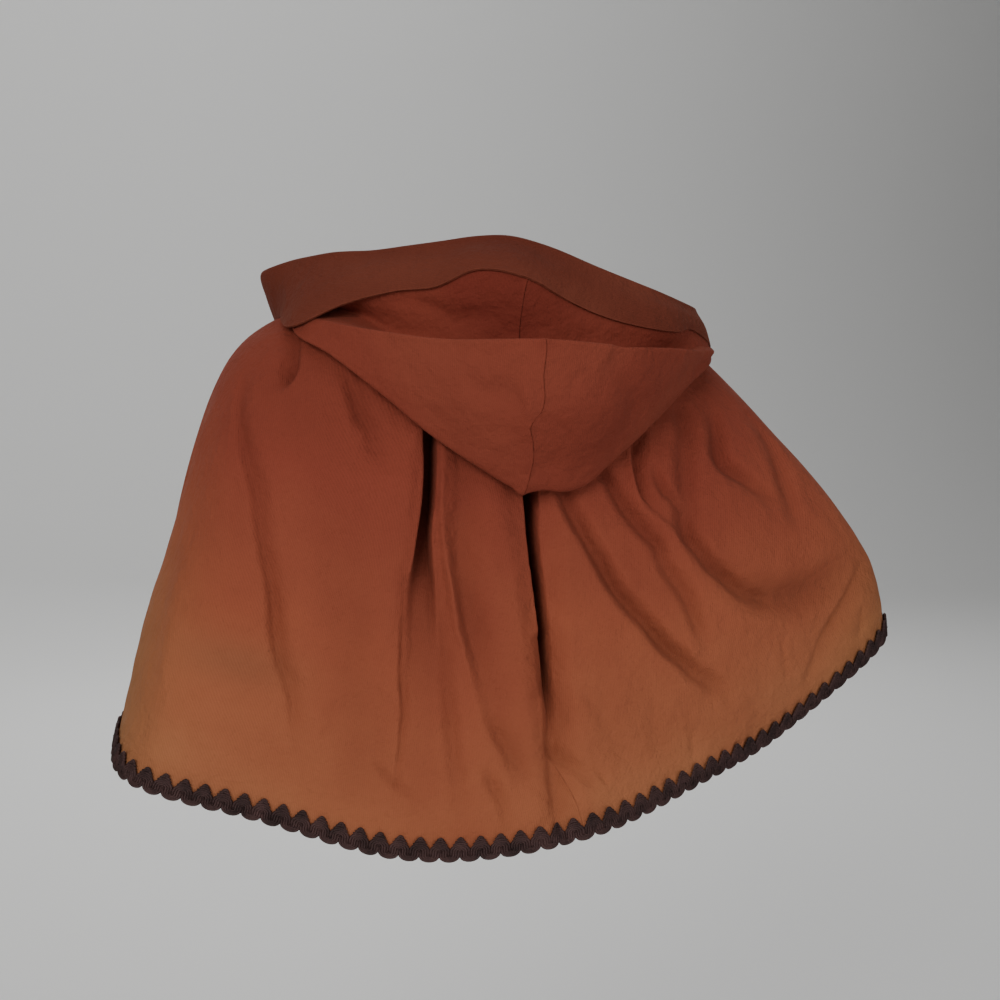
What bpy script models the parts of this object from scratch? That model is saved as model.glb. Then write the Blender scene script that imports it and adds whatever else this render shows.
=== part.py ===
# Hooded capelet in its worn shape: a gathered cape in two halves, a hood pushed down on the back
# with its front edge turned out as a cuff, gimp braid round the hem, a hook and eye at the throat.
# Metres, +Z up, the garment faces -Y, and the origin is the middle of the neck seam.
# An angle is in degrees round from centre back, positive toward the wearer's left (+X).

import math

import bpy
import bmesh
import numpy as np

# Driving sizes
cloth_thickness = 0.0020
seam_gap = 0.0003
seam_flat = 0.0012
band_gap = 0.0007
neck_gap = 0.0007
join_gap = 0.0008
cape_length = 0.52
braid_pitch = 0.0165
braid_height = 0.0200
braid_peak = 0.0085
braid_scallop = 0.0045
braid_overhang = 0.0050
braid_thickness = 0.0020
braid_lift = 0.0008
front_gap_neck = 0.009
front_gap_hem = 0.050
wire_radius = 0.0005

# Upper rings of the cape: how far each reaches to the four sides, and its height there
ring_columns = ("along", "left", "right", "back", "front", "z_back", "z_left", "z_right", "z_front")
upper_rings = (
    (0.00, 0.066, 0.066, 0.060, 0.062, 0.000, -0.010, -0.010, -0.045),
    (0.14, 0.112, 0.116, 0.090, 0.088, -0.046, -0.034, -0.036, -0.088),
    (0.34, 0.211, 0.212, 0.124, 0.122, -0.128, -0.080, -0.086, -0.170),
)

# Lower rings, by angle: the right elbow lifts the cloth near -68, the left arm holds it out at 67
fall_columns = ("angle", "arm_reach", "arm_height", "hem_reach", "hem_height")
fall_lines = (
    (-180, 0.170, -0.345, 0.205, -0.495),
    (-150, 0.190, -0.335, 0.226, -0.475),
    (-120, 0.228, -0.300, 0.272, -0.430),
    (-97, 0.290, -0.270, 0.325, -0.385),
    (-80, 0.345, -0.250, 0.376, -0.360),
    (-68, 0.350, -0.250, 0.390, -0.357),
    (-55, 0.300, -0.270, 0.313, -0.415),
    (-31, 0.225, -0.295, 0.260, -0.449),
    (0, 0.188, -0.300, 0.255, -0.475),
    (31, 0.203, -0.300, 0.264, -0.481),
    (54, 0.251, -0.290, 0.305, -0.450),
    (67, 0.293, -0.275, 0.360, -0.426),
    (80, 0.295, -0.270, 0.344, -0.416),
    (97, 0.281, -0.275, 0.302, -0.418),
    (120, 0.245, -0.300, 0.275, -0.445),
    (150, 0.190, -0.335, 0.226, -0.480),
    (180, 0.170, -0.345, 0.205, -0.495),
)
ring_shares = (0.0, 0.14, 0.34, 0.66, 1.0)

# Folds of the cape: a centre line through three places, the reach of each flank at the middle
# place, how deep the trough is at the start, the middle and the end, and whether the columns of
# the cape lean with it
fold_columns = (
    "start", "start_angle", "middle", "middle_angle", "end", "end_angle",
    "left_flank", "right_flank", "start_depth", "middle_depth", "end_depth", "leads",
)
cape_folds = (
    (0.20, 15, 0.50, 24, 1.05, 31, 0.016, 0.026, 0.000, 0.024, 0.006, 1),
    (0.35, 15, 0.58, 20, 0.90, 14, 0.014, 0.018, 0.000, 0.006, 0.000, 0),
    (0.25, 0, 0.55, 0, 1.05, 1, 0.016, 0.026, 0.000, 0.020, 0.006, 0),
    (0.42, -6, 0.65, -19, 0.92, -38, 0.016, 0.024, 0.000, 0.011, 0.000, 0),
    (0.40, -18, 0.60, -29, 0.85, -37, 0.016, 0.022, 0.000, 0.008, 0.000, 0),
    (0.40, -32, 0.63, -41, 0.84, -62, 0.022, 0.034, 0.000, 0.016, 0.000, 0),
    (0.30, -56, 0.50, -50, 0.66, -60, 0.016, 0.020, 0.000, 0.007, 0.000, 0),
    (0.40, 66, 0.66, 58, 1.00, 50, 0.028, 0.034, 0.000, 0.009, 0.003, 0),
    (0.24, 66, 0.34, 58, 0.50, 52, 0.016, 0.020, 0.000, 0.005, 0.000, 0),
    (0.30, 46, 0.40, 37, 0.55, 35, 0.016, 0.018, 0.000, 0.005, 0.000, 0),
    (0.40, 90, 0.80, 92, 1.05, 93, 0.022, 0.030, 0.000, 0.012, 0.012, 1),
    (0.20, 104, 0.60, 108, 1.05, 109, 0.020, 0.028, 0.000, 0.018, 0.014, 1),
    (0.12, 122, 0.55, 125, 1.05, 126, 0.018, 0.026, 0.000, 0.016, 0.018, 1),
    (0.12, 140, 0.60, 143, 1.05, 144, 0.018, 0.026, 0.000, 0.018, 0.016, 1),
    (0.12, 158, 0.60, 161, 1.05, 162, 0.016, 0.024, 0.000, 0.014, 0.014, 1),
    (0.40, -88, 0.80, -92, 1.05, -94, 0.024, 0.024, 0.000, 0.014, 0.014, 1),
    (0.20, -104, 0.60, -108, 1.05, -110, 0.024, 0.022, 0.000, 0.018, 0.016, 1),
    (0.12, -121, 0.55, -125, 1.05, -127, 0.022, 0.020, 0.000, 0.015, 0.018, 1),
    (0.12, -138, 0.60, -142, 1.05, -144, 0.024, 0.020, 0.000, 0.018, 0.015, 1),
    (0.12, -156, 0.60, -160, 1.05, -162, 0.022, 0.018, 0.000, 0.013, 0.014, 1),
)

# Columns lean with a leading fold from this place down, over this many degrees
lean_start = 0.45
lean_width = 16

# Gathers at the neck seam, fading down the cape
gather_count = 30
gather_depth = 0.0016
gather_end = 0.16

# Sections of the hood, by angle. tip is the low fold of the hanging pouch, ridge its shoulder,
# valley the hollow behind the cuff, fold the top of the cuff and edge the cuff's free edge.
# share is how far down the cape the underside of the pouch lies.
hood_columns = (
    "angle", "share", "tip_reach", "tip_height", "ridge_reach", "ridge_height",
    "valley_reach", "valley_height", "fold_reach", "fold_height", "edge_reach", "edge_height",
)
hood_sections = (
    (-177, 0.00, 0.0665, -0.040, 0.069, -0.035, 0.072, -0.029, 0.077, -0.014, 0.101, -0.054),
    (-155, 0.00, 0.070, -0.036, 0.074, -0.032, 0.078, -0.027, 0.087, -0.013, 0.114, -0.052),
    (-135, 0.05, 0.085, -0.036, 0.091, -0.034, 0.097, -0.030, 0.112, -0.018, 0.132, -0.062),
    (-118, 0.13, 0.118, -0.045, 0.127, -0.043, 0.136, -0.040, 0.152, -0.030, 0.166, -0.074),
    (-102, 0.23, 0.176, -0.063, 0.178, -0.058, 0.178, -0.053, 0.180, -0.040, 0.202, -0.079),
    (-86, 0.30, 0.202, -0.073, 0.200, -0.067, 0.196, -0.061, 0.195, -0.047, 0.220, -0.078),
    (-79, 0.33, 0.214, -0.087, 0.211, -0.080, 0.205, -0.073, 0.200, -0.051, 0.223, -0.080),
    (-72, 0.35, 0.221, -0.099, 0.222, -0.091, 0.212, -0.085, 0.203, -0.053, 0.220, -0.079),
    (-58, 0.38, 0.203, -0.122, 0.216, -0.091, 0.201, -0.085, 0.192, -0.045, 0.215, -0.077),
    (-45, 0.40, 0.190, -0.147, 0.213, -0.087, 0.190, -0.081, 0.178, -0.033, 0.201, -0.071),
    (-30, 0.43, 0.178, -0.176, 0.210, -0.083, 0.174, -0.076, 0.151, -0.015, 0.173, -0.061),
    (-15, 0.46, 0.173, -0.202, 0.209, -0.078, 0.160, -0.069, 0.131, 0.002, 0.158, -0.044),
    (0, 0.47, 0.168, -0.206, 0.203, -0.072, 0.149, -0.064, 0.117, 0.012, 0.155, -0.023),
    (15, 0.44, 0.164, -0.184, 0.188, -0.073, 0.141, -0.066, 0.111, 0.012, 0.146, -0.016),
    (30, 0.38, 0.165, -0.153, 0.175, -0.072, 0.136, -0.067, 0.110, 0.008, 0.140, -0.031),
    (45, 0.34, 0.172, -0.118, 0.170, -0.062, 0.133, -0.060, 0.116, 0.004, 0.143, -0.035),
    (60, 0.30, 0.180, -0.087, 0.174, -0.056, 0.139, -0.051, 0.125, 0.000, 0.149, -0.040),
    (75, 0.27, 0.183, -0.066, 0.177, -0.053, 0.151, -0.045, 0.144, -0.002, 0.162, -0.041),
    (82, 0.25, 0.171, -0.054, 0.167, -0.047, 0.156, -0.040, 0.154, -0.005, 0.177, -0.046),
    (90, 0.23, 0.160, -0.046, 0.159, -0.040, 0.158, -0.033, 0.166, -0.009, 0.179, -0.052),
    (104, 0.19, 0.148, -0.049, 0.157, -0.046, 0.166, -0.042, 0.188, -0.020, 0.178, -0.064),
    (118, 0.13, 0.112, -0.042, 0.122, -0.040, 0.132, -0.036, 0.152, -0.020, 0.164, -0.066),
    (135, 0.05, 0.084, -0.035, 0.091, -0.033, 0.097, -0.029, 0.112, -0.014, 0.132, -0.060),
    (155, 0.00, 0.070, -0.036, 0.074, -0.032, 0.078, -0.027, 0.087, -0.012, 0.114, -0.051),
    (177, 0.00, 0.0665, -0.040, 0.069, -0.035, 0.072, -0.029, 0.077, -0.014, 0.101, -0.054),
)
hood_knots = (0.0, 0.12, 0.26, 0.38, 0.42, 0.46, 0.56, 0.68, 0.82, 0.96, 1.0)
hood_rows = (0.0, 0.06, 0.12, 0.19, 0.26, 0.33, 0.38, 0.42, 0.46, 0.51, 0.56, 0.62, 0.68, 0.75, 0.82, 0.89, 0.96, 1.0)
underside_lift = 0.007
standing_share = 0.13
tip_radius = 0.006
face_bulge = 0.010
hood_end = 0.003
band_roll = 0.0025
band_leg = 0.0015
band_bow = 0.0015
band_join = -30
join_step = 0.5
cape_rows = (0.0, 0.05, 0.10, 0.17, 0.25, 0.34, 0.43, 0.53, 0.64, 0.76, 0.88)
braid_steps = 4


def remove_everything():
    for item in list(bpy.data.objects):
        bpy.data.objects.remove(item, do_unlink=True)


def column(table, names, name):
    """One named column of a table as an array."""
    return np.array([row[names.index(name)] for row in table], float)


def slopes_at(knots, values):
    """Slopes of a smooth curve through values at uneven knots, along the first axis."""
    run = np.diff(knots).reshape(-1, *([1] * (values.ndim - 1)))
    step = np.diff(values, axis=0) / run
    slope = np.empty_like(values)
    slope[1:-1] = (step[:-1] * run[1:] + step[1:] * run[:-1]) / (run[1:] + run[:-1])
    slope[0] = 1.5 * step[0] - 0.5 * slope[1]
    slope[-1] = 1.5 * step[-1] - 0.5 * slope[-2]
    return slope


def blend(low, high, low_slope, high_slope, span, part):
    """Cubic between two ends with given slopes."""
    rest = 1 - part
    return (
        low * (1 + 2 * part) * rest**2
        + high * part**2 * (3 - 2 * part)
        + span * part * rest * (low_slope * rest - high_slope * part)
    )


def read_smooth(knots, values, at):
    """The smooth curve through a table's column, read at an array of places."""
    knots = np.asarray(knots, float)
    values = np.asarray(values, float)
    slope = slopes_at(knots, values)
    low = np.clip(np.searchsorted(knots, at, side="right") - 1, 0, len(knots) - 2)
    span = knots[low + 1] - knots[low]
    part = (at - knots[low]) / span
    return blend(values[low], values[low + 1], slope[low], slope[low + 1], span, part)


def read_round(angles, values, at):
    """The same for a column that goes all the way round."""
    angles = np.concatenate([[angles[-2] - 360], angles, [angles[1] + 360]])
    values = np.concatenate([[values[-2]], values, [values[1]]])
    return read_smooth(angles, values, at)


def read_path(knots, points, at):
    """A smooth path through stacked points (knot, ..., 3), read at an array of places."""
    knots = np.asarray(knots, float)
    slope = slopes_at(knots, points)
    low = np.clip(np.searchsorted(knots, at, side="right") - 1, 0, len(knots) - 2)
    span = (knots[low + 1] - knots[low])[..., None]
    part = (at - knots[low])[..., None] / span

    def pick(stack, place):
        return np.take_along_axis(stack, place[None, ..., None].repeat(3, -1), 0)[0]

    return blend(pick(points, low), pick(points, low + 1), pick(slope, low), pick(slope, low + 1), span, part)


def out_from_axis(angle, reach, height):
    turn = np.radians(angle)
    return np.stack([reach * np.sin(turn), reach * np.cos(turn), height + 0 * turn], -1)


def upper_ring(ring, angle):
    """A point of one upper ring, an ellipse in each quarter with its height easing round."""
    size = dict(zip(ring_columns, ring))
    turn = np.radians(angle)
    side = np.where(turn >= 0, size["left"], size["right"])
    side_height = np.where(turn >= 0, size["z_left"], size["z_right"])
    deep = np.where(np.cos(turn) >= 0, size["back"], size["front"])
    deep_height = np.where(np.cos(turn) >= 0, size["z_back"], size["z_front"])
    share = np.cos(turn) ** 2
    height = deep_height * share + side_height * (1 - share)
    return np.stack([side * np.sin(turn), deep * np.cos(turn), height], -1)


def open_front(angle, along):
    """Draws the two front edges apart, by more at the hem than at the throat."""
    neck_turn = math.degrees(front_gap_neck / 2 / upper_rings[0][4])
    hem_turn = math.degrees(front_gap_hem / 2 / fall_lines[0][3])
    turn = neck_turn + (hem_turn - neck_turn) * along
    return angle * (1 - turn / 180 * (np.abs(angle) / 180) ** 6)


def cape_base(angle, along):
    """The cape without folds. along runs from 0 at the neck seam to 1 at the hem."""
    angle = open_front(angle, along)
    rings = [upper_ring(ring, angle) for ring in upper_rings]
    angles = column(fall_lines, fall_columns, "angle")
    for name in ("arm", "hem"):
        reach = read_round(angles, column(fall_lines, fall_columns, name + "_reach"), angle)
        height = read_round(angles, column(fall_lines, fall_columns, name + "_height"), angle)
        rings.append(out_from_axis(angle, reach, height))
    return read_path(ring_shares, np.stack(rings), along)


def cape_outward(angle, along):
    """Unit direction out of the unfolded cape."""
    step = 0.5
    share = 0.005
    across = cape_base(angle + step, along) - cape_base(angle - step, along)
    down = cape_base(angle, along + share) - cape_base(angle, along - share)
    out = np.cross(across, down)
    return out / np.linalg.norm(out, axis=-1, keepdims=True)


def read_fold(fold, name, along):
    """A fold's angle or depth at places down the cape."""
    places = (fold["start"], fold["middle"], fold["end"])
    values = [fold[place + "_" + name] for place in ("start", "middle", "end")]
    return read_smooth(places, values, np.clip(along, places[0], places[2]))


def fold_depth(angle, along, reach):
    """How far the folds and gathers draw the cape inwards."""
    depth = np.zeros_like(angle)
    for row in cape_folds:
        fold = dict(zip(fold_columns, row))
        trough = np.clip(read_fold(fold, "depth", along), 0, None)
        aside = np.radians(angle - read_fold(fold, "angle", along)) * reach
        flank = np.where(aside > 0, fold["left_flank"], fold["right_flank"])
        profile = np.clip(1 - (aside / flank) ** 2, 0, 1) ** 2
        depth += trough * profile
    fade = np.clip(1 - along / gather_end, 0, 1)
    return depth + gather_depth * fade * (0.5 - 0.5 * np.cos(np.radians(angle) * gather_count))


def cape_surface(angle, along):
    """The outer face of the cape, with its folds."""
    base = cape_base(angle, along)
    reach = np.hypot(base[..., 0], base[..., 1])
    return base - fold_depth(angle, along, reach)[..., None] * cape_outward(angle, along)


def stop_short(grid, side, seam_angle, gap):
    """Stops a piece half a gap short of an upright seam plane."""
    turn = math.radians(seam_angle)
    across = np.array([math.cos(turn), -math.sin(turn), 0.0])
    on_plane = grid[0] - (grid[0] @ across)[:, None] * across
    return np.concatenate([[on_plane + side * gap / 2 * across], grid[1:]])


def centre_seam(grid, side):
    """Stops a half just short of centre back, with a narrow flat strip along the seam."""
    grid = stop_short(grid, side, 0, seam_gap)
    flat = grid[0] + [side * seam_flat, 0, 0]
    return np.concatenate([[grid[0], flat], grid[1:]])


def column_angle(hem_angle, along):
    """Columns lean with the long folds, so that each trough runs down the same few columns."""
    angle = hem_angle.copy()
    for row in cape_folds:
        fold = dict(zip(fold_columns, row))
        low = read_fold(fold, "angle", np.array([1.0]))[0]
        lean = fold["leads"] * (read_fold(fold, "angle", np.clip(along, lean_start, 1)) - low)
        angle += lean * np.clip(1 - ((hem_angle - low) / lean_width) ** 2, 0, 1) ** 2
    return angle


def hem_columns(side):
    """Angles of the columns of one half, one braid repeat apart along the folded hem."""
    fine = np.linspace(0, side * 180, 1601)
    run = np.concatenate([[0], np.cumsum(np.linalg.norm(np.diff(cape_surface(fine, np.ones_like(fine)), axis=0), axis=1))])
    repeats = round(run[-1] / braid_pitch)
    return np.interp(np.linspace(0, run[-1], repeats + 1), run, fine)


def cape_grid(side):
    """Points of one half: columns by angle, rows from the neck seam to the hem."""
    angles = hem_columns(side)
    hem_band = braid_height / cape_length
    rows = cape_rows + (1 - hem_band, 1.0)
    hem_angle, along = np.meshgrid(angles, np.array(rows), indexing="ij")
    return centre_seam(cape_surface(column_angle(hem_angle, along), along), side)


def hood_columns_at(side):
    """Angles of the hood's columns: its sections and halfway between them."""
    angles = column(hood_sections, hood_columns, "angle")
    angles = np.sort(np.abs(angles[angles * side >= 0]))
    halfway = (angles[1:] + angles[:-1]) / 2
    return side * np.sort(np.concatenate([angles, halfway]))


def hood_size(name, angle):
    angles = column(hood_sections, hood_columns, "angle")
    return read_smooth(angles, column(hood_sections, hood_columns, name), angle)


def band_roll_point(angle, turn, drop):
    """A point on the roll at the top of the cuff, by its turn from the outside over to the inside."""
    reach = hood_size("fold_reach", angle) + band_roll * math.cos(math.radians(turn))
    height = hood_size("fold_height", angle) - cloth_thickness / 2 - band_roll
    return out_from_axis(angle, reach, height + band_roll * math.sin(math.radians(turn)) - drop)


def band_start(angle):
    """Where the cuff starts, inside its roll and a little below."""
    return band_roll_point(angle, 180, band_leg)


def hood_surface(angle, along):
    """The middle of the hood's wall, from the neck seam, down under the pouch, round its tip,
    up over the ridge and the valley to the fold under the cuff. At the front it stands up instead."""
    half = cloth_thickness / 2
    share = hood_size("share", angle)
    pouch = np.clip((share - 0.2) / 0.15, 0, 1)

    def on_cape(part, lift):
        return cape_base(angle, share * part) + (lift + half)[..., None] * cape_outward(angle, share * part)

    lift = 3 * seam_gap + underside_lift * (share / 0.47) ** 2
    seam = on_cape(0.0, neck_gap + 0 * angle)
    standing = np.clip(1 - share / standing_share, 0, 1)[..., None]
    tip = out_from_axis(angle, hood_size("tip_reach", angle), hood_size("tip_height", angle))
    under = on_cape(0.35, lift) * (1 - standing) + (seam * 0.75 + tip * 0.25) * standing
    low = on_cape(0.72, 1.4 * lift) * (1 - standing) + (seam * 0.40 + tip * 0.60) * standing
    ridge = out_from_axis(angle, hood_size("ridge_reach", angle), hood_size("ridge_height", angle))
    valley = out_from_axis(angle, hood_size("valley_reach", angle), hood_size("valley_height", angle))
    top = band_start(angle) - [0, 0, band_gap]
    outward = out_from_axis(angle, 1 + 0 * angle, 0)
    up = np.array([0.0, 0.0, 1.0])
    soft = (tip_radius * pouch)[..., None]
    before_tip = low * 0.2 + tip * 0.8 + soft * (up * 0.9 - outward * 0.9)
    after_tip = tip * 0.8 + ridge * 0.2 + soft * (outward * 0.7 - up * 0.4)
    face = tip * 0.42 + ridge * 0.58 + (face_bulge * pouch)[..., None] * outward
    path = np.stack([
        seam, under, low, before_tip, tip, after_tip, face, ridge, valley, top - up * hood_end, top,
    ])
    return read_path(hood_knots, path, along)


def hood_grid(side):
    angle, along = np.meshgrid(hood_columns_at(side), np.array(hood_rows), indexing="ij")
    return centre_seam(hood_surface(angle, along), side)


def band_path(angle):
    """The middle of the cuff's wall: up from the hood's edge, over the roll and down outside."""
    edge = out_from_axis(angle, hood_size("edge_reach", angle), hood_size("edge_height", angle))
    roll = [band_roll_point(angle, turn, 0) for turn in (180, 135, 90, 45, 0)]
    bowed = roll[-1] * 0.5 + edge * 0.5 + out_from_axis(angle, band_bow + 0 * angle, band_bow)
    return np.stack([band_start(angle), *roll, bowed, edge])


def band_grid(side):
    """One length of the cuff. The two lengths are joined to the right of centre back."""
    angles = np.union1d(hood_columns_at(1), hood_columns_at(-1))
    angles = angles[(angles - band_join) * side > 0]
    angles = np.concatenate([angles, [band_join, band_join + side * join_step]])
    angles = side * np.sort(side * angles)
    path = band_path(angles)
    return stop_short(np.swapaxes(path, 0, 1), side, band_join, join_gap)


def braid_grid(side):
    """The braid's wall, made from the cape's own hem points, moved out. Its upper outline rises
    to a peak over each join of two scallops."""
    cape = cape_grid(side)
    top, hem = cape[:, -2], cape[:, -1]
    repeats = len(hem) - 2
    known = np.concatenate([[0, seam_flat / braid_pitch], np.arange(1, repeats + 1)])
    place = np.union1d(known, np.linspace(0, repeats, repeats * braid_steps + 1))

    def between(points):
        return np.stack([np.interp(place, known, points[:, axis]) for axis in range(3)], -1)

    down = hem - top
    down /= np.linalg.norm(down, axis=1, keepdims=True)
    across = np.gradient(hem, known, axis=0)
    across[:2] = [side, 0, 0]
    out = side * np.cross(across, down)
    out /= np.linalg.norm(out, axis=1, keepdims=True)
    out, down, hem = between(out), between(down), between(hem)
    lift = braid_lift + braid_thickness
    phase = (place % 1.0)[:, None]
    peak = np.abs(1 - 2 * phase)
    scallop = np.sqrt(np.clip(1 - (2 * phase - 1) ** 2, 0, 1))
    low_edge = hem + out * lift + down * (braid_overhang - braid_scallop * (1 - scallop))
    high_edge = hem + out * lift - down * (braid_height - braid_overhang - braid_peak * (1 - peak))
    return np.stack([high_edge, low_edge], axis=1)


def screen_colour(red, green, blue):
    """A colour as a screen shows it, 0 to 255, as a linear colour."""
    parts = [value / 255 for value in (red, green, blue)]
    return tuple(part / 12.92 if part <= 0.04045 else ((part + 0.055) / 1.055) ** 2.4 for part in parts) + (1.0,)


def make_material(name, colour, roughness, metallic=0.0):
    material = bpy.data.materials.new(name)
    material.use_nodes = True
    shader = material.node_tree.nodes["Principled BSDF"]
    shader.inputs["Base Color"].default_value = colour
    shader.inputs["Roughness"].default_value = roughness
    shader.inputs["Metallic"].default_value = metallic
    return material


def make_sheet(name, grid, flip, thickness, offset, material, collection):
    """A wall on a grid of points (column, row), its outer side by the order of the corners."""
    columns, rows = grid.shape[:2]
    mesh = bmesh.new()
    verts = [[mesh.verts.new(grid[i, j]) for j in range(rows)] for i in range(columns)]
    for i in range(columns - 1):
        for j in range(rows - 1):
            corners = [verts[i][j], verts[i][j + 1], verts[i + 1][j + 1], verts[i + 1][j]]
            mesh.faces.new(corners[::-1] if flip else corners)
    data = bpy.data.meshes.new(name)
    mesh.to_mesh(data)
    mesh.free()
    data.shade_smooth()
    sheet = bpy.data.objects.new(name, data)
    collection.objects.link(sheet)
    data.materials.append(material)
    wall = sheet.modifiers.new("Wall", "SOLIDIFY")
    wall.thickness = thickness
    wall.offset = offset
    wall.use_even_offset = False
    return sheet


def make_wire(name, points, material, collection):
    """A bent wire through the points, with closed ends."""
    data = bpy.data.curves.new(name, "CURVE")
    data.dimensions = "3D"
    data.bevel_depth = wire_radius
    data.bevel_resolution = 1
    data.use_fill_caps = True
    spline = data.splines.new("POLY")
    spline.points.add(len(points) - 1)
    for place, point in zip(spline.points, points):
        place.co = (*point, 1.0)
    data.materials.append(material)
    wire = bpy.data.objects.new(name, data)
    collection.objects.link(wire)
    return wire


def arc(centre, radius, first, last, count):
    """Points on an arc in the plane, angles in degrees."""
    turns = [math.radians(first + (last - first) * i / (count - 1)) for i in range(count)]
    return [(centre[0] + radius * math.cos(t), centre[1] + radius * math.sin(t)) for t in turns]


def make_fastening(material, collection):
    """A hook on the wearer's right front edge and an eye on the left, inside the neck seam."""
    place = np.array([180.0])
    share = np.array([0.045])
    down = (cape_base(place, share + 0.02) - cape_base(place, share - 0.02))[0] * [0, 1, 1]
    down /= np.linalg.norm(down)
    inward = np.cross(down, [1.0, 0.0, 0.0])
    inward *= -math.copysign(1, np.dot(inward, [0, -1, 0]))
    back = cloth_thickness + seam_gap + 0.0012 + wire_radius
    centre = cape_surface(place, share)[0] * [0, 1, 1] + inward * back

    def placed(x, low, deep):
        return centre + np.array([x, 0, 0]) + down * low + inward * deep

    bend = 0.0030
    bar = 0.0008
    end = 0.0150
    eye = [(end, -bend)] + arc((bar + bend, 0), bend, -90, -270, 9) + [(end, bend)]
    make_wire("front_eye", [placed(x, low, 0) for x, low in eye], material, collection)
    turn = 0.0014
    hook = [(-end, turn)] + [(x, deep) for x, deep in arc((2 * bar, 0), turn, 90, -90, 7)] + [(-0.0015, -turn)]
    make_wire("front_hook", [placed(x, 0, deep) for x, deep in hook], material, collection)


def main():
    remove_everything()
    capelet = bpy.data.collections.new("hooded_capelet")
    bpy.context.scene.collection.children.link(capelet)
    cape_cloth = make_material("cape_cloth", screen_colour(150, 82, 48), 0.85)
    hood_cloth = make_material("hood_cloth", screen_colour(128, 58, 40), 0.85)
    band_cloth = make_material("band_cloth", screen_colour(122, 54, 38), 0.85)
    gimp = make_material("gimp_braid", screen_colour(62, 42, 36), 0.6)
    metal = make_material("fastening_metal", screen_colour(60, 56, 54), 0.4, 1.0)
    for side, name in ((1, "left"), (-1, "right")):
        flip = side < 0
        make_sheet("cape_" + name, cape_grid(side), not flip, cloth_thickness, -1.0, cape_cloth, capelet)
        make_sheet("hood_" + name, hood_grid(side), not flip, cloth_thickness, 0.0, hood_cloth, capelet)
        make_sheet("hood_band_" + name, band_grid(side), not flip, cloth_thickness, 0.0, band_cloth, capelet)
        make_sheet("hem_braid_" + name, braid_grid(side), not flip, braid_thickness, -1.0, gimp, capelet)
    make_fastening(metal, capelet)


main()
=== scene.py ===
import bpy
import math
import numpy as np
from mathutils import Matrix, Vector


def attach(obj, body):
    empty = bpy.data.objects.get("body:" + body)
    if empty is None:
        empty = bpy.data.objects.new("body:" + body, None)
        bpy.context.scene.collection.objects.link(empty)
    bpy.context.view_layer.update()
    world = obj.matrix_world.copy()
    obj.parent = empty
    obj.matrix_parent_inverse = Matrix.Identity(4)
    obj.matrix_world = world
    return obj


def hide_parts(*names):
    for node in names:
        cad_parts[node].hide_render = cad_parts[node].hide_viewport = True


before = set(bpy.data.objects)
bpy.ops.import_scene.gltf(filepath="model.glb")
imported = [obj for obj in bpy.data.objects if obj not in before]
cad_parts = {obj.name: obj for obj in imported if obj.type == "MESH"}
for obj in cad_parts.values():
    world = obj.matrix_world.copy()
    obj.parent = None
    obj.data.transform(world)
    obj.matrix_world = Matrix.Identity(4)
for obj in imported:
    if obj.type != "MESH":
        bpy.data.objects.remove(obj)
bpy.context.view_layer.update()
print("frame loaded:", len(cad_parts), "nodes")

# Angles go round from centre back in degrees, positive to the wearer's left. along is 0 at the
# neck seam and 1 at the hem. The garment faces -Y and its neck seam is centred on the origin.


def column(rows, names, name):
    return np.array([row[names.index(name)] for row in rows], float)


def slopesAt(knots, values):
    run = np.diff(knots).reshape(-1, *([1] * (values.ndim - 1)))
    step = np.diff(values, axis=0) / run
    slope = np.empty_like(values)
    slope[1:-1] = (step[:-1] * run[1:] + step[1:] * run[:-1]) / (run[1:] + run[:-1])
    slope[0] = 1.5 * step[0] - 0.5 * slope[1]
    slope[-1] = 1.5 * step[-1] - 0.5 * slope[-2]
    return slope


def blendCubic(low, high, lowSlope, highSlope, span, part):
    rest = 1 - part
    return (low * (1 + 2 * part) * rest**2 + high * part**2 * (3 - 2 * part)
            + span * part * rest * (lowSlope * rest - highSlope * part))


# the knots that each place lies between: the lower one, their distance, how far along it is
def findSpan(knots, at):
    low = np.clip(np.searchsorted(knots, at, side="right") - 1, 0, len(knots) - 2)
    span = knots[low + 1] - knots[low]
    return low, span, (at - knots[low]) / span


def readSmooth(knots, values, at):
    knots, values = np.asarray(knots, float), np.asarray(values, float)
    slope = slopesAt(knots, values)
    low, span, part = findSpan(knots, at)
    return blendCubic(values[low], values[low + 1], slope[low], slope[low + 1], span, part)


def readClipped(knots, values, at):
    return readSmooth(knots, values, np.clip(at, knots[0], knots[-1]))


def readRound(angles, values, at):
    angles = np.concatenate([[angles[-2] - 360], angles, [angles[1] + 360]])
    values = np.concatenate([[values[-2]], values, [values[1]]])
    return readSmooth(angles, values, at)


def readPath(knots, points, at):
    knots = np.asarray(knots, float)
    slope = slopesAt(knots, points)
    low, span, part = findSpan(knots, at)

    def pick(stack, place):
        return np.take_along_axis(stack, place[None, ..., None].repeat(3, -1), 0)[0]

    return blendCubic(pick(points, low), pick(points, low + 1), pick(slope, low), pick(slope, low + 1),
                      span[..., None], part[..., None])


def outFromAxis(angle, reach, height):
    turn = np.radians(angle)
    return np.stack([reach * np.sin(turn), reach * np.cos(turn), height + 0 * turn], -1)


def easeIn(value, low, high):
    part = np.clip((value - low) / (high - low), 0, 1)
    return part * part * (3 - 2 * part)


def unit(vectors):
    return vectors / np.linalg.norm(vectors, axis=-1, keepdims=True)


# distance along a chain of points, from its first
def runAlong(points):
    return np.concatenate([[0], np.cumsum(np.linalg.norm(np.diff(points, axis=0), axis=-1))])


# places between the first and last of fine, closer together where the density is higher
def packedPlaces(fine, density, count):
    run = np.concatenate([[0], np.cumsum((density[1:] + density[:-1]) / 2)])
    return np.interp(np.linspace(0, run[-1], count), run, fine)


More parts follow.
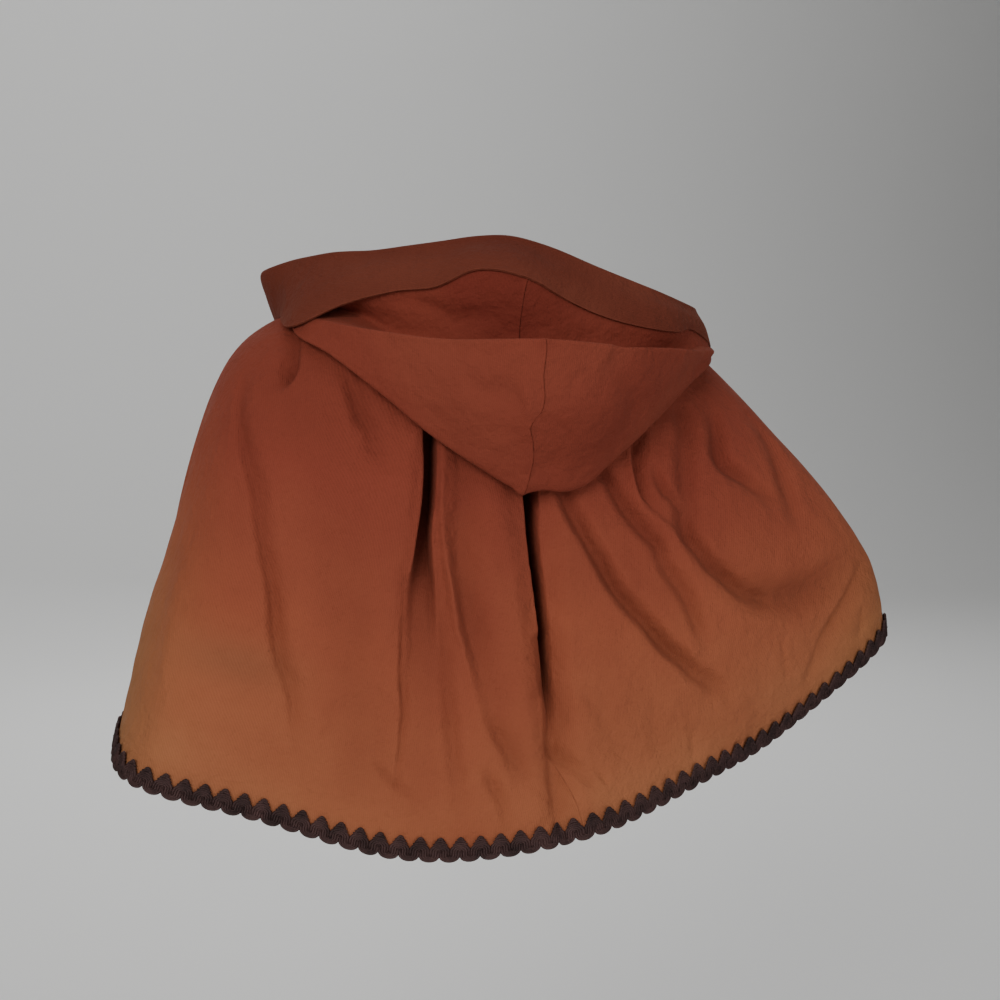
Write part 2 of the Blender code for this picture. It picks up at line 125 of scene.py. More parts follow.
# slow unevenness from a few crossing waves, about -1 to 1
def unevenness(u, v, size, seed):
    rng = np.random.default_rng(seed)
    total = 0 * u
    for wave in range(7):
        turn, phase = rng.uniform(0, 2 * math.pi, 2)
        reach = size * rng.uniform(0.6, 1.7)
        total = total + np.sin((u * math.cos(turn) + v * math.sin(turn)) * 2 * math.pi / reach + phase)
    return total / 4


cape = {
    "thickness": 0.0020,
    "seamGap": 0.0003,
    "length": 0.52,
    "columns": 300,
    "rows": 150,
    "columnsBack": 1.1,     # how much closer the columns lie over the back and by the left fold
    "columnsFold": 1.2,
    "frontGapNeck": 0.009,
    "frontGapHem": 0.050,
    "gatherCount": 30,
    "gatherDepth": 0.0016,
    "gatherEnd": 0.16,
    "softDepth": 0.0011,    # slow unevenness of the cloth, and how far apart it comes
    "softSize": 0.16,
    "fineDepth": 0.0003,
    "fineSize": 0.035,
    "cutRadius": 0.25,      # neck edge and spread of a panel laid flat, for its UVs
    "cutTurn": 74,
    "reach": 0.22,          # rough distance from the axis, for the unevenness
    "leanWidth": 16,        # how many degrees of columns lean with the left fold
    "seamRidge": 0.0006,
    "seamWidth": 0.0022,
    "creaseRound": 0.42,    # 0 is a sharp crease
    "lipSharp": 0.16,       # how soon the lean of a lip dies away, over it and beside it
    "lipSoft": 0.7,
    "creaseShade": 0.022,   # painted shade for each millimetre of a crease, and its most
    "creaseShadeMost": 0.55,
    "slitShade": 0.75,      # painted shade at the bottom of a deep fold, and how deep that is
    "slitShadeDepth": 0.030,
    "shadeMost": 0.9,       # painted shade of creases and deep folds together goes no darker than this
    "sidePaler": 0.16,      # how much further the dye has faded on the sides
    "panelDarker": 0.16,    # and how much less below the left fold
    "stain": (60, 7, 0.76, 0.035),
}

ringColumns = ("left", "right", "back", "front", "zBack", "zLeft", "zRight", "zFront")
upperRings = (
    (0.066, 0.066, 0.060, 0.062, 0.000, -0.010, -0.010, -0.045),
    (0.112, 0.116, 0.090, 0.088, -0.046, -0.034, -0.036, -0.088),
    (0.211, 0.212, 0.124, 0.122, -0.128, -0.080, -0.086, -0.170),
)
fallColumns = ("angle", "armReach", "armHeight", "hemReach", "hemHeight")
fallLines = (
    (-180, 0.170, -0.345, 0.205, -0.495),
    (-150, 0.190, -0.335, 0.226, -0.475),
    (-120, 0.228, -0.300, 0.272, -0.430),
    (-97, 0.290, -0.270, 0.325, -0.385),
    (-80, 0.345, -0.250, 0.376, -0.360),
    (-68, 0.350, -0.250, 0.390, -0.357),
    (-55, 0.300, -0.270, 0.313, -0.415),
    (-31, 0.225, -0.295, 0.260, -0.449),
    (0, 0.188, -0.300, 0.255, -0.475),
    (31, 0.203, -0.300, 0.264, -0.481),
    (54, 0.251, -0.290, 0.305, -0.450),
    (67, 0.293, -0.275, 0.360, -0.426),
    (80, 0.295, -0.270, 0.344, -0.416),
    (97, 0.281, -0.275, 0.302, -0.418),
    (120, 0.245, -0.300, 0.275, -0.445),
    (150, 0.190, -0.335, 0.226, -0.480),
    (180, 0.170, -0.345, 0.205, -0.495),
)
ringShares = (0.0, 0.14, 0.34, 0.66, 1.0)

# pleats of the sides and front: the line through three places, how far each flank reaches, depths
pleatColumns = (
    "start", "startAngle", "middle", "middleAngle", "end", "endAngle",
    "leftFlank", "rightFlank", "startDepth", "middleDepth", "endDepth",
)
capePleats = (
    (0.25, 0, 0.55, 0, 1.05, 1, 0.020, 0.030, 0.000, 0.008, 0.003),
    (0.40, 90, 0.80, 92, 1.05, 93, 0.022, 0.030, 0.000, 0.012, 0.012),
    (0.20, 104, 0.60, 108, 1.05, 109, 0.020, 0.028, 0.000, 0.018, 0.014),
    (0.12, 122, 0.55, 125, 1.05, 126, 0.018, 0.026, 0.000, 0.016, 0.018),
    (0.12, 140, 0.60, 143, 1.05, 144, 0.018, 0.026, 0.000, 0.018, 0.016),
    (0.12, 158, 0.60, 161, 1.05, 162, 0.016, 0.024, 0.000, 0.014, 0.014),
    (0.40, -88, 0.80, -92, 1.05, -94, 0.024, 0.024, 0.000, 0.014, 0.014),
    (0.20, -104, 0.60, -108, 1.05, -110, 0.024, 0.022, 0.000, 0.018, 0.016),
    (0.12, -121, 0.55, -125, 1.05, -127, 0.022, 0.020, 0.000, 0.015, 0.018),
    (0.12, -138, 0.60, -142, 1.05, -144, 0.024, 0.020, 0.000, 0.018, 0.015),
    (0.12, -156, 0.60, -160, 1.05, -162, 0.022, 0.018, 0.000, 0.013, 0.014),
)

# creases drawn on the cloth: reach of the left and right flank, then the line as angle, along and
# depth, with reach and depth in millimetres. A small flank makes a sharp side, and a depth below 0
# is a ridge.
capeCreases = {
    "lip valley": (3, 8, (
        (32.8, 0.6, 0), (33.6, 0.64, 1), (34, 0.672, 3), (34, 0.708, 4), (34, 0.748, 4),
        (33.2, 0.792, 5), (33, 0.828, 4), (33, 0.864, 3), (33, 0.896, 2), (33, 0.94, 0),
    )),
    "floor valley": (13, 12, (
        (25, 0.6, 1), (25.2, 0.64, 4), (24.8, 0.7, 6), (24, 0.756, 6), (23.3, 0.8, 6), (22.5, 0.852, 5),
        (21.5, 0.88, 4), (20.5, 0.924, 2), (20, 0.97, 0),
    )),
    "lit ridge": (6, 9, (
        (17.5, 0.4, -2), (18, 0.42, -3), (19.5, 0.472, -4), (21.5, 0.528, -5), (22.5, 0.588, -5),
        (22, 0.624, -5), (21.5, 0.672, -4), (20, 0.712, -3), (18.5, 0.76, -2), (17, 0.8, 0),
    )),
    "ridge valley": (12, 30, (
        (14, 0.42, 3), (15, 0.472, 5), (17, 0.528, 6), (18.5, 0.576, 7), (19.3, 0.624, 8),
        (18.9, 0.672, 8), (17.5, 0.708, 6), (16, 0.748, 5), (14, 0.8, 4), (11.5, 0.852, 4),
        (9.5, 0.892, 3), (8, 0.93, 0),
    )),
    "lip bulge": (30, 12, (
        (23.5, 0.39, 0), (25, 0.416, -3), (27.5, 0.476, -4), (31, 0.544, -4), (35, 0.612, -3),
        (37, 0.7, -2), (37, 0.78, 0),
    )),
    "long left valley": (6, 18, (
        (74, 0.37, 0), (71, 0.42, 3), (67.6, 0.456, 5), (64, 0.492, 6), (61.2, 0.528, 6),
        (60.2, 0.56, 6), (59, 0.596, 7), (58, 0.624, 7), (57, 0.66, 8), (56.2, 0.7, 8),
        (54.6, 0.748, 7), (52.2, 0.796, 5), (50.9, 0.844, 3), (49.2, 0.896, 1), (48, 0.93, 0),
    )),
    "left shoulder": (22, 4, (
        (66, 0.28, 4), (58.5, 0.332, 7), (56.5, 0.36, 9), (57.5, 0.38, 6), (60, 0.395, 0),
    )),
    "pinched ridge": (5, 5, (
        (43, 0.31, -2), (41.5, 0.328, -3), (38.5, 0.356, -4), (37, 0.376, -3), (36, 0.392, 0),
    )),
    "pinched valley": (12, 16, (
        (41, 0.335, 3), (39, 0.36, 7), (37.5, 0.384, 9), (36.5, 0.4, 8), (34.5, 0.412, 6),
        (33.5, 0.424, 3), (32, 0.44, 0),
    )),
    "pinched foot": (12, 8, (
        (35.5, 0.415, 0), (34.5, 0.432, 3), (33.5, 0.444, 4), (31.5, 0.458, 2), (30, 0.47, 0),
    )),
    "left panel": (40, 44, (
        (47, 0.46, 0), (45, 0.6, 3), (43, 0.72, 4), (40, 0.84, 4), (38, 0.96, 0),
    )),
    "left panel crease": (5, 6, (
        (40, 0.755, 0), (38, 0.772, 1), (35, 0.792, 1), (34, 0.805, 0),
    )),
    "left hem crease": (4, 8, (
        (38, 0.875, 0), (36.5, 0.884, 3), (33.5, 0.904, 4), (31.5, 0.912, 3), (29.5, 0.92, 2),
        (28, 0.93, 0),
    )),
    "far left hem": (6, 12, (
        (64, 0.86, 0), (62.5, 0.896, 2), (60, 0.936, 1), (58, 0.96, 0),
    )),
    "far left swell": (24, 26, (
        (78, 0.56, 0), (72, 0.7, -3), (68, 0.8, -4), (65, 0.92, 0),
    )),
    "middle upper": (8, 14, (
        (15.5, 0.8, 0), (14, 0.82, 3), (11.5, 0.852, 4), (8.5, 0.884, 3), (6.5, 0.91, 0),
    )),
    "middle hem": (8, 12, (
        (16, 0.88, 0), (15, 0.896, 4), (13.5, 0.916, 5), (12, 0.936, 4), (11.5, 0.96, 2), (11, 1, 0),
    )),
    "by seam": (9, 24, (
        (0.3, 0.7, 6), (0.4, 0.75, 8), (0.3, 0.78, 9), (-0.2, 0.804, 8), (0.2, 0.832, 7),
        (0.8, 0.868, 5), (1.2, 0.908, 5), (1.3, 0.952, 4), (1, 0.98, 3), (1, 1.02, 2),
    )),
    "seam to hem": (8, 14, (
        (1.5, 0.855, 2), (1, 0.872, 5), (-1, 0.884, 5), (-4, 0.904, 4), (-6, 0.924, 3), (-8, 0.95, 0),
    )),
    "seam to hem end": (4, 6, (
        (-8, 0.905, 0), (-8.5, 0.92, 2), (-9.5, 0.932, 2), (-10.5, 0.95, 0),
    )),
    "diagonal one": (13, 13, (
        (-8.8, 0.45, 6), (-10.1, 0.5, 9), (-10.8, 0.512, 10), (-12.6, 0.536, 11), (-15.4, 0.568, 12),
        (-17.8, 0.6, 13), (-20.6, 0.637, 13), (-23.8, 0.671, 13), (-26.4, 0.701, 13),
        (-28.9, 0.738, 13), (-31.6, 0.768, 12), (-33.8, 0.8, 10), (-36.4, 0.832, 6), (-38, 0.87, 0),
    )),
    "diagonal one end": (10, 14, (
        (-33, 0.77, 0), (-36, 0.804, 2), (-38, 0.836, 4), (-39.5, 0.864, 3), (-40.5, 0.9, 0),
    )),
    "diagonal two": (14, 10, (
        (-18.5, 0.44, 5), (-20, 0.468, 9), (-21.5, 0.48, 10), (-23.5, 0.508, 10), (-26, 0.536, 10),
        (-29, 0.562, 10), (-31, 0.58, 10), (-31.8, 0.604, 6), (-32.8, 0.632, 4), (-34.4, 0.664, 3),
        (-35.5, 0.7, 2), (-37, 0.74, 0),
    )),
    "diagonal two foot": (14, 16, (
        (-31, 0.6, 0), (-32, 0.616, 3), (-34, 0.64, 5), (-35.5, 0.676, 7), (-36, 0.716, 6),
        (-36.5, 0.752, 3), (-37, 0.79, 0),
    )),
    "bright ridge": (10, 7, (
        (-27.5, 0.42, -3), (-27.5, 0.448, -4), (-27, 0.476, -5), (-27, 0.508, -5), (-29, 0.532, -4),
        (-32.5, 0.556, -4), (-35, 0.584, -3), (-36.5, 0.616, -2), (-38.5, 0.652, 0),
    )),
    "gather one": (6, 18, (
        (-30, 0.4, 6), (-29, 0.432, 9), (-28, 0.464, 10), (-28, 0.488, 9), (-28.5, 0.504, 7),
        (-30, 0.52, 4), (-31.5, 0.54, 0),
    )),
    "gather two": (12, 8, (
        (-32.5, 0.47, 0), (-33.7, 0.496, 6), (-34.7, 0.512, 8), (-36.2, 0.524, 7), (-37.7, 0.545, 0),
    )),
    "gather three": (18, 20, (
        (-45, 0.42, 6), (-44, 0.444, 7), (-41.5, 0.476, 8), (-39.5, 0.516, 8), (-39, 0.544, 7),
        (-38.5, 0.564, 5), (-38, 0.58, 2), (-38, 0.6, 0),
    )),
    "diagonal three": (15, 13, (
        (-37, 0.545, 3), (-37.4, 0.568, 8), (-37.9, 0.584, 11), (-39.4, 0.604, 12), (-40.9, 0.628, 12),
        (-42.9, 0.652, 11), (-44.9, 0.68, 9), (-46.9, 0.7, 6), (-49, 0.715, 4), (-51, 0.725, 0),
    )),
    "crescent": (30, 34, (
        (-40, 0.61, 0), (-43, 0.645, 4), (-46, 0.683, 8), (-49.5, 0.71, 12), (-53.5, 0.73, 13),
        (-57.5, 0.737, 11), (-61, 0.742, 7), (-65, 0.745, 3), (-69, 0.745, 0),
    )),
    "right shoulder": (20, 12, (
        (-55.5, 0.44, 2), (-53.5, 0.464, 9), (-51.5, 0.484, 12), (-50.5, 0.5, 13), (-51.5, 0.516, 12),
        (-53.5, 0.532, 10), (-55, 0.552, 7), (-56.5, 0.568, 4), (-58, 0.59, 0),
    )),
    "right shoulder two": (20, 14, (
        (-66, 0.48, 2), (-64.5, 0.52, 6), (-63, 0.54, 8), (-61, 0.568, 8), (-59.5, 0.596, 5),
        (-58, 0.64, 0),
    )),
    "right corner": (4, 20, (
        (-67, 0.74, 0), (-64.5, 0.765, 3), (-62.5, 0.784, 4), (-59.5, 0.816, 4), (-57.3, 0.852, 3),
        (-55.7, 0.9, 2), (-54.5, 0.95, 0),
    )),
    "right corner small": (3, 5, (
        (-59, 0.8, 0), (-59, 0.83, 1.5), (-59.5, 0.864, 1), (-60, 0.88, 0),
    )),
    "right corner edge": (4, 5, (
        (-63.5, 0.84, 0), (-63.2, 0.87, 2), (-63, 0.9, 2), (-62.5, 0.94, 0),
    )),
    "right corner left": (5, 5, (
        (-50.5, 0.79, 0), (-50.8, 0.82, 1.5), (-51.3, 0.86, 1.5), (-52, 0.89, 0),
    )),
    "right low two": (12, 12, (
        (-7.5, 0.77, 0), (-8, 0.788, 1), (-9.5, 0.808, 1.2), (-10.5, 0.84, 0),
    )),
    "right low three": (16, 20, (
        (-23.5, 0.79, 0), (-23.5, 0.824, 1.5), (-23.5, 0.864, 2), (-23.5, 0.904, 1.5), (-24, 0.95, 0),
    )),
    "right low four": (16, 20, (
        (-12, 0.78, 0), (-12.5, 0.808, 1.5), (-12.5, 0.848, 2), (-14, 0.884, 1.5), (-15, 0.93, 0),
    )),
    "right hem nick": (5, 8, (
        (-30.5, 0.89, 0), (-31, 0.93, 1.5), (-30, 0.965, 0),
    )),
}

# the two deep folds of the back: where the lips run, how deep it goes, how much of its width each
# wall takes, and how far the left lip leans over it
slitColumns = ("along", "leftLip", "rightLip", "depth", "leftWall", "rightWall", "lean")
leftSlit = (
    (0.20, 16.0, 13.0, 0.000, 0.30, 0.40, 0.000),
    (0.34, 20.6, 17.0, 0.020, 0.18, 0.25, 0.001),
    (0.404, 22.5, 18.8, 0.030, 0.14, 0.20, 0.001),
    (0.452, 23.6, 20.0, 0.032, 0.13, 0.18, 0.002),
    (0.50, 25.5, 21.8, 0.030, 0.13, 0.18, 0.002),
    (0.548, 28.4, 24.4, 0.024, 0.16, 0.14, 0.002),
    (0.588, 31.0, 25.4, 0.018, 0.30, 0.14, 0.002),
    (0.62, 32.8, 25.6, 0.012, 0.35, 0.16, 0.001),
    (0.66, 34.0, 25.8, 0.009, 0.35, 0.20, 0.001),
    (0.70, 34.2, 25.2, 0.007, 0.30, 0.30, 0.000),
    (0.75, 34.2, 24.2, 0.005, 0.18, 0.40, 0.000),
    (0.80, 33.6, 23.4, 0.003, 0.20, 0.45, 0.000),
    (0.87, 33.2, 23.0, 0.002, 0.30, 0.50, 0.000),
    (0.95, 33.0, 22.0, 0.000, 0.50, 0.50, 0.000),
    (1.05, 33.0, 22.0, 0.000, 0.50, 0.50, 0.000),
)
centreSlit = (
    (0.20, 0.4, -2.4, 0.000, 0.45, 0.45, 0.000),
    (0.34, 0.2, -3.4, 0.024, 0.30, 0.30, 0.000),
    (0.42, 0.3, -3.6, 0.038, 0.24, 0.24, 0.001),
    (0.496, 0.5, -3.5, 0.044, 0.24, 0.24, 0.001),
    (0.552, 0.9, -2.7, 0.042, 0.24, 0.24, 0.001),
    (0.624, 0.8, -2.7, 0.036, 0.28, 0.28, 0.001),
    (0.70, 0.7, -2.6, 0.024, 0.34, 0.34, 0.001),
    (0.76, 0.6, -2.2, 0.013, 0.40, 0.40, 0.000),
    (0.82, 0.9, -1.6, 0.003, 0.45, 0.45, 0.000),
    (0.86, 1.2, -1.0, 0.000, 0.45, 0.45, 0.000),
    (1.05, 1.2, -1.0, 0.000, 0.45, 0.45, 0.000),
)

# how far the centre back seam wanders, in degrees
capeSeam = (
    (0.0, 0.0), (0.70, 0.2), (0.76, 1.0), (0.82, 2.0), (0.852, 2.4), (0.876, 1.5), (0.904, -0.5),
    (0.932, -2.0), (0.96, -3.0), (1.0, -3.4),
)


def openFront(angle, along):
    neckTurn = math.degrees(cape["frontGapNeck"] / 2 / upperRings[0][3])
    hemTurn = math.degrees(cape["frontGapHem"] / 2 / fallLines[0][3])
    turn = neckTurn + (hemTurn - neckTurn) * along
    return angle * (1 - turn / 180 * (np.abs(angle) / 180) ** 6)


def upperRing(ring, angle):
    size = dict(zip(ringColumns, ring))
    turn = np.radians(angle)
    side = np.where(turn >= 0, size["left"], size["right"])
    sideHeight = np.where(turn >= 0, size["zLeft"], size["zRight"])
    deep = np.where(np.cos(turn) >= 0, size["back"], size["front"])
    deepHeight = np.where(np.cos(turn) >= 0, size["zBack"], size["zFront"])
    share = np.cos(turn) ** 2
    height = deepHeight * share + sideHeight * (1 - share)
    return np.stack([side * np.sin(turn), deep * np.cos(turn), height], -1)


def capeBase(angle, along):
    angle = openFront(angle, along)
    rings = [upperRing(ring, angle) for ring in upperRings]
    angles = column(fallLines, fallColumns, "angle")
    for name in ("arm", "hem"):
        reach = readRound(angles, column(fallLines, fallColumns, name + "Reach"), angle)
        height = readRound(angles, column(fallLines, fallColumns, name + "Height"), angle)
        rings.append(outFromAxis(angle, reach, height))
    return readPath(ringShares, np.stack(rings), along)


# unit directions of the unfolded cape: outward, and across toward the wearer's left
def capeFrame(angle, along):
    # a small step to each side gives the slope
    across = capeBase(angle + 0.5, along) - capeBase(angle - 0.5, along)
    down = capeBase(angle, along + 0.005) - capeBase(angle, along - 0.005)
    return unit(np.cross(across, down)), unit(across)


def pleatDepth(rows, angle, along, reach):
    depth = np.zeros_like(angle)
    for row in rows:
        pleat = dict(zip(pleatColumns, row))
        places = (pleat["start"], pleat["middle"], pleat["end"])
        line = readClipped(places, [pleat[at + "Angle"] for at in ("start", "middle", "end")], along)
        trough = readClipped(places, [pleat[at + "Depth"] for at in ("start", "middle", "end")], along)
        aside = np.radians(angle - line) * reach
        flank = np.where(aside > 0, pleat["leftFlank"], pleat["rightFlank"])
        depth += np.clip(trough, 0, None) * np.clip(1 - (aside / flank) ** 2, 0, 1) ** 2
    return depth


# depth left by lines drawn on a surface, by how far each point lies to either side of them
def drawnDepth(creases, surface, points, out):
    depth = np.zeros(points.shape[:-1])
    for leftFlank, rightFlank, rows in creases.values():
        left, right = leftFlank / 1000, rightFlank / 1000
        rows = np.array(rows, float) / (1, 1, 1000)
        knots = np.linspace(0, 1, len(rows))
        fine = np.linspace(0, 1, 10 * len(rows))
        angle, along, deep = (readSmooth(knots, rows[:, k], fine) for k in range(3))
        line = surface(angle, along)
        ahead = np.gradient(line, axis=0)
        length = np.linalg.norm(ahead, axis=1)
        ahead /= length[:, None]
        reach = max(left, right)
        near = ((points > line.min(0) - reach) & (points < line.max(0) + reach)).all(-1)
        if not near.any():
            continue
        place = points[near]
        nearest = ((place[:, None] - line[None]) ** 2).sum(-1).argmin(1)
        offset = place - line[nearest]
        past = (offset * ahead[nearest]).sum(-1)
        inside = ((nearest > 0) | (past > 0)) & ((nearest < len(line) - 1) | (past < 0))
        flat = offset - (offset * out[near]).sum(-1, keepdims=True) * out[near]
        flat = flat - np.where(inside, past, 0)[:, None] * ahead[nearest]
        side = -(np.cross(ahead[nearest], offset) * out[near]).sum(-1)
        flank = np.where(side > 0, left, right)
        here = deep[nearest] + np.gradient(deep)[nearest] * np.where(inside, past, 0) / length[nearest]
        bend = cape["creaseRound"]
        part = np.clip(np.linalg.norm(flat, axis=-1) / flank, 0, 1)
        profile = (1 - (np.hypot(part, bend) - bend) / (math.hypot(1, bend) - bend)) ** 2
        depth[near] += here * profile
    return depth


# painted shade: how far each point lies down in a fold, out of the light, as darkening of the cloth's colour
def foldShade(angle, along):
    base = capeBase(angle, along)
    drawn = drawnDepth(capeCreases, capeBase, base, capeFrame(angle, along)[0])
    slits = sum(slitShape(rows, angle, along)[0] for rows in (leftSlit, centreSlit))
    creased = np.clip(cape["creaseShade"] * drawn * 1000, 0, cape["creaseShadeMost"])
    deep = np.clip(slits / cape["slitShadeDepth"], 0, 1) * cape["slitShade"]
    return np.clip(creased + deep, 0, cape["shadeMost"])


def readSlit(rows, name, along):
    return readClipped(column(rows, slitColumns, "along"), column(rows, slitColumns, name), along)


# depth of a deep fold, and how far its left lip is pushed across to the right
def slitShape(rows, angle, along):
    lip = readSlit(rows, "leftLip", along)
    width = lip - readSlit(rows, "rightLip", along)
    part = (lip - angle) / width
    profile = easeIn(part, 0, readSlit(rows, "leftWall", along))
    profile = profile * easeIn(1 - part, 0, readSlit(rows, "rightWall", along))
    push = np.exp(-(part / np.where(part > 0, cape["lipSharp"], cape["lipSoft"])) ** 2)
    depth = np.clip(readSlit(rows, "depth", along), 0, None) * profile
    return depth, readSlit(rows, "lean", along) * push


def capeSurface(angle, along):
    base = capeBase(angle, along)
    out, across = capeFrame(angle, along)
    reach = np.hypot(base[..., 0], base[..., 1])
    depth = pleatDepth(capePleats, angle, along, reach)
    depth += drawnDepth(capeCreases, capeBase, base, out)
    fade = np.clip(1 - along / cape["gatherEnd"], 0, 1)
    gathers = 0.5 - 0.5 * np.cos(np.radians(angle) * cape["gatherCount"])
    depth += cape["gatherDepth"] * fade * gathers
    shift = 0 * depth
    for rows in (leftSlit, centreSlit):
        more, lean = slitShape(rows, angle, along)
        depth += more
        shift += lean
    u, v = np.radians(angle) * cape["reach"], along * cape["length"]
    calm = easeIn(along, 0.10, 0.35) * (1 - 0.6 * easeIn(along, 0.88, 1.0))
    depth -= calm * cape["softDepth"] * unevenness(u, v, cape["softSize"], 3)
    depth -= calm * cape["fineDepth"] * unevenness(u, v, cape["fineSize"], 8)
    seam = np.radians(angle - seamAngle(capeSeam, along)) * reach
    depth -= cape["seamRidge"] * np.exp(-(seam / cape["seamWidth"]) ** 2) * easeIn(along, 0.70, 0.78)
    return base - depth[..., None] * out - shift[..., None] * across


def seamAngle(rows, along):
    return readClipped(*zip(*rows), along)


# columns follow the lip of the left fold and the seam
def columnAngle(hemAngle, along):
    low = readSlit(leftSlit, "leftLip", np.array([1.0]))[0]
    window = np.clip(1 - ((hemAngle - low) / cape["leanWidth"]) ** 2, 0, 1) ** 2
    angle = hemAngle + (readSlit(leftSlit, "leftLip", along) - low) * window
    return angle + seamAngle(capeSeam, along) * np.clip(1 - (hemAngle / 12) ** 2, 0, 1) ** 2


# closer columns on the back, where the folds are finest
def capeColumns(side):
    fine = np.linspace(0, 180, 721)
    density = 1 + cape["columnsBack"] * (1 - easeIn(fine, 60, 95)) + np.exp(-(fine / 5) ** 2)
    if side > 0:
        density = density + cape["columnsFold"] * np.exp(-((fine - 29) / 6) ** 2)
    return side * packedPlaces(fine, density, cape["columns"])


def addObject(name, data):
    piece = bpy.data.objects.new(name, data)
    bpy.context.scene.collection.objects.link(piece)
    return piece


def smoothMesh(name, verts, faces):
    data = bpy.data.meshes.new(name)
    data.from_pydata(verts, [], faces)
    data.polygons.foreach_set("use_smooth", [True] * len(faces))
    return data


# a soft patch on the cloth: its middle and reach in degrees, then its middle and reach along
def spot(angle, along, place):
    turn, wide, height, tall = place
    return np.exp(-((angle - turn) / wide) ** 2 - ((along - height) / tall) ** 2)


# a mesh on a grid of points (column, row) with UVs in metres and named values
def gridMesh(name, grid, flip, uv, materials, attributes):
    columns, rows = grid.shape[:2]
    index = np.arange(columns * rows).reshape(columns, rows)
    quads = np.stack([index[:-1, :-1], index[:-1, 1:], index[1:, 1:], index[1:, :-1]], -1).reshape(-1, 4)
    if flip:
        quads = quads[:, ::-1]
    data = smoothMesh(name, grid.reshape(-1, 3).tolist(), quads.tolist())
    layer = data.uv_layers.new(name="UVMap")
    layer.data.foreach_set("uv", uv.reshape(-1, 2)[quads.reshape(-1)].astype(np.float32).reshape(-1))
    for label, values in attributes.items():
        held = data.attributes.new(label, "FLOAT", "POINT")
        held.data.foreach_set("value", values.reshape(-1).astype(np.float32))
    for material in materials:
        data.materials.append(material)
    used = np.zeros(len(data.loops), np.int32)
    data.loops.foreach_get("edge_index", used)
    cutEdge = np.bincount(used, minlength=len(data.edges)) == 1
    data.attributes.new("sharp_edge", "BOOLEAN", "EDGE").data.foreach_set("value", cutEdge)
    data.update()
    return addObject(name, data)


def makeWall(piece, thickness, offset):
    wall = piece.modifiers.new("Wall", "SOLIDIFY")
    wall.thickness = thickness
    wall.offset = offset
    wall.use_even_offset = False
    wall.use_rim = True
    wall.material_offset = 1
    wall.material_offset_rim = 0
    return wall


# UVs in metres, measured on the cloth: across along one row, down along each column
def clothMap(grid, side, row):
    wide = runAlong(grid[:, row])
    step = np.linalg.norm(np.diff(grid, axis=1), axis=-1)
    down = np.concatenate([np.zeros((len(grid), 1)), np.cumsum(step, axis=1)], axis=1)
    return np.stack([np.repeat(wide[:, None] * side, grid.shape[1], 1), down], -1)


def surfaceArea(grid):
    one = np.cross(grid[1:, :-1] - grid[:-1, :-1], grid[:-1, 1:] - grid[:-1, :-1])
    two = np.cross(grid[1:, :-1] - grid[1:, 1:], grid[:-1, 1:] - grid[1:, 1:])
    return (np.linalg.norm(one, axis=-1).sum() + np.linalg.norm(two, axis=-1).sum()) / 2


# each input takes a socket or a plain value
def feed(tree, node, inputs):
    for place, source in inputs.items():
        if isinstance(source, bpy.types.NodeSocket):
            tree.links.new(source, node.inputs[place])
        else:
            node.inputs[place].default_value = source


def addNode(tree, kind, inputs=None, **settings):
    node = tree.nodes.new(kind)
    for name, value in settings.items():
        setattr(node, name, value)
    feed(tree, node, inputs or {})
    return node


def screenColour(red, green, blue):
    parts = [value / 255 for value in (red, green, blue)]
    linear = [part / 12.92 if part <= 0.04045 else ((part + 0.055) / 1.055) ** 2.4 for part in parts]
    return (*linear, 1.0)


def mixColour(tree, mode, amount, low, high):
    inputs = {0: amount, 6: low, 7: high}
    return addNode(tree, "ShaderNodeMix", inputs, data_type="RGBA", blend_type=mode).outputs[2]


def mathNode(tree, operation, first, second=0.0):
    return addNode(tree, "ShaderNodeMath", {0: first, 1: second}, operation=operation).outputs[0]


def scaledSum(tree, value, scale, offset):
    node = addNode(tree, "ShaderNodeMath", {0: value, 1: scale, 2: offset}, operation="MULTIPLY_ADD")
    return node.outputs[0]


def noise(tree, where, scale, detail, roughness=0.5):
    inputs = {"Vector": where, "Scale": scale, "Detail": detail, "Roughness": roughness}
    return addNode(tree, "ShaderNodeTexNoise", inputs).outputs[0]


def colourRamp(tree, value, stops):
    ramp = addNode(tree, "ShaderNodeValToRGB", {0: value})
    while len(ramp.color_ramp.elements) < len(stops):
        ramp.color_ramp.elements.new(0.5)
    for element, (place, colour) in zip(ramp.color_ramp.elements, stops):
        element.position = place
        element.color = screenColour(*colour)
    return ramp.outputs[0]


def newMaterial(name):
    material = bpy.data.materials.new(name)
    material.use_nodes = True
    return material, material.node_tree, material.node_tree.nodes["Principled BSDF"]


clothLook = {
    "ribPitch": 0.0017,
    "weftPitch": 0.0013,
    "weftShare": 0.14,
    "ribStrength": 0.30,
    "ribDepth": 0.00025,
    "grain": 1.2,
    "slubDrift": 0.0012,     # how far thick threads push the ribs aside
    "cloudScale": 11.0,
    "dyeCloud": 0.24,        # unevenness of the dye
    "wornCloud": 4.0,        # unevenness of the wear, against the weave
    # painted shade and light of the weave, with uneven tone: how strong, and its level
    "shadeDepth": 0.045,
    "shadeLevel": 0.88,
    "crumple": 0.9,
    "crumpleScale": 26.0,
    "crumpleDepth": 0.009,
    "roughness": 0.88,
    "shine": 0.18,
    "nap": 0.06,
    "napColour": (214, 150, 118),
}
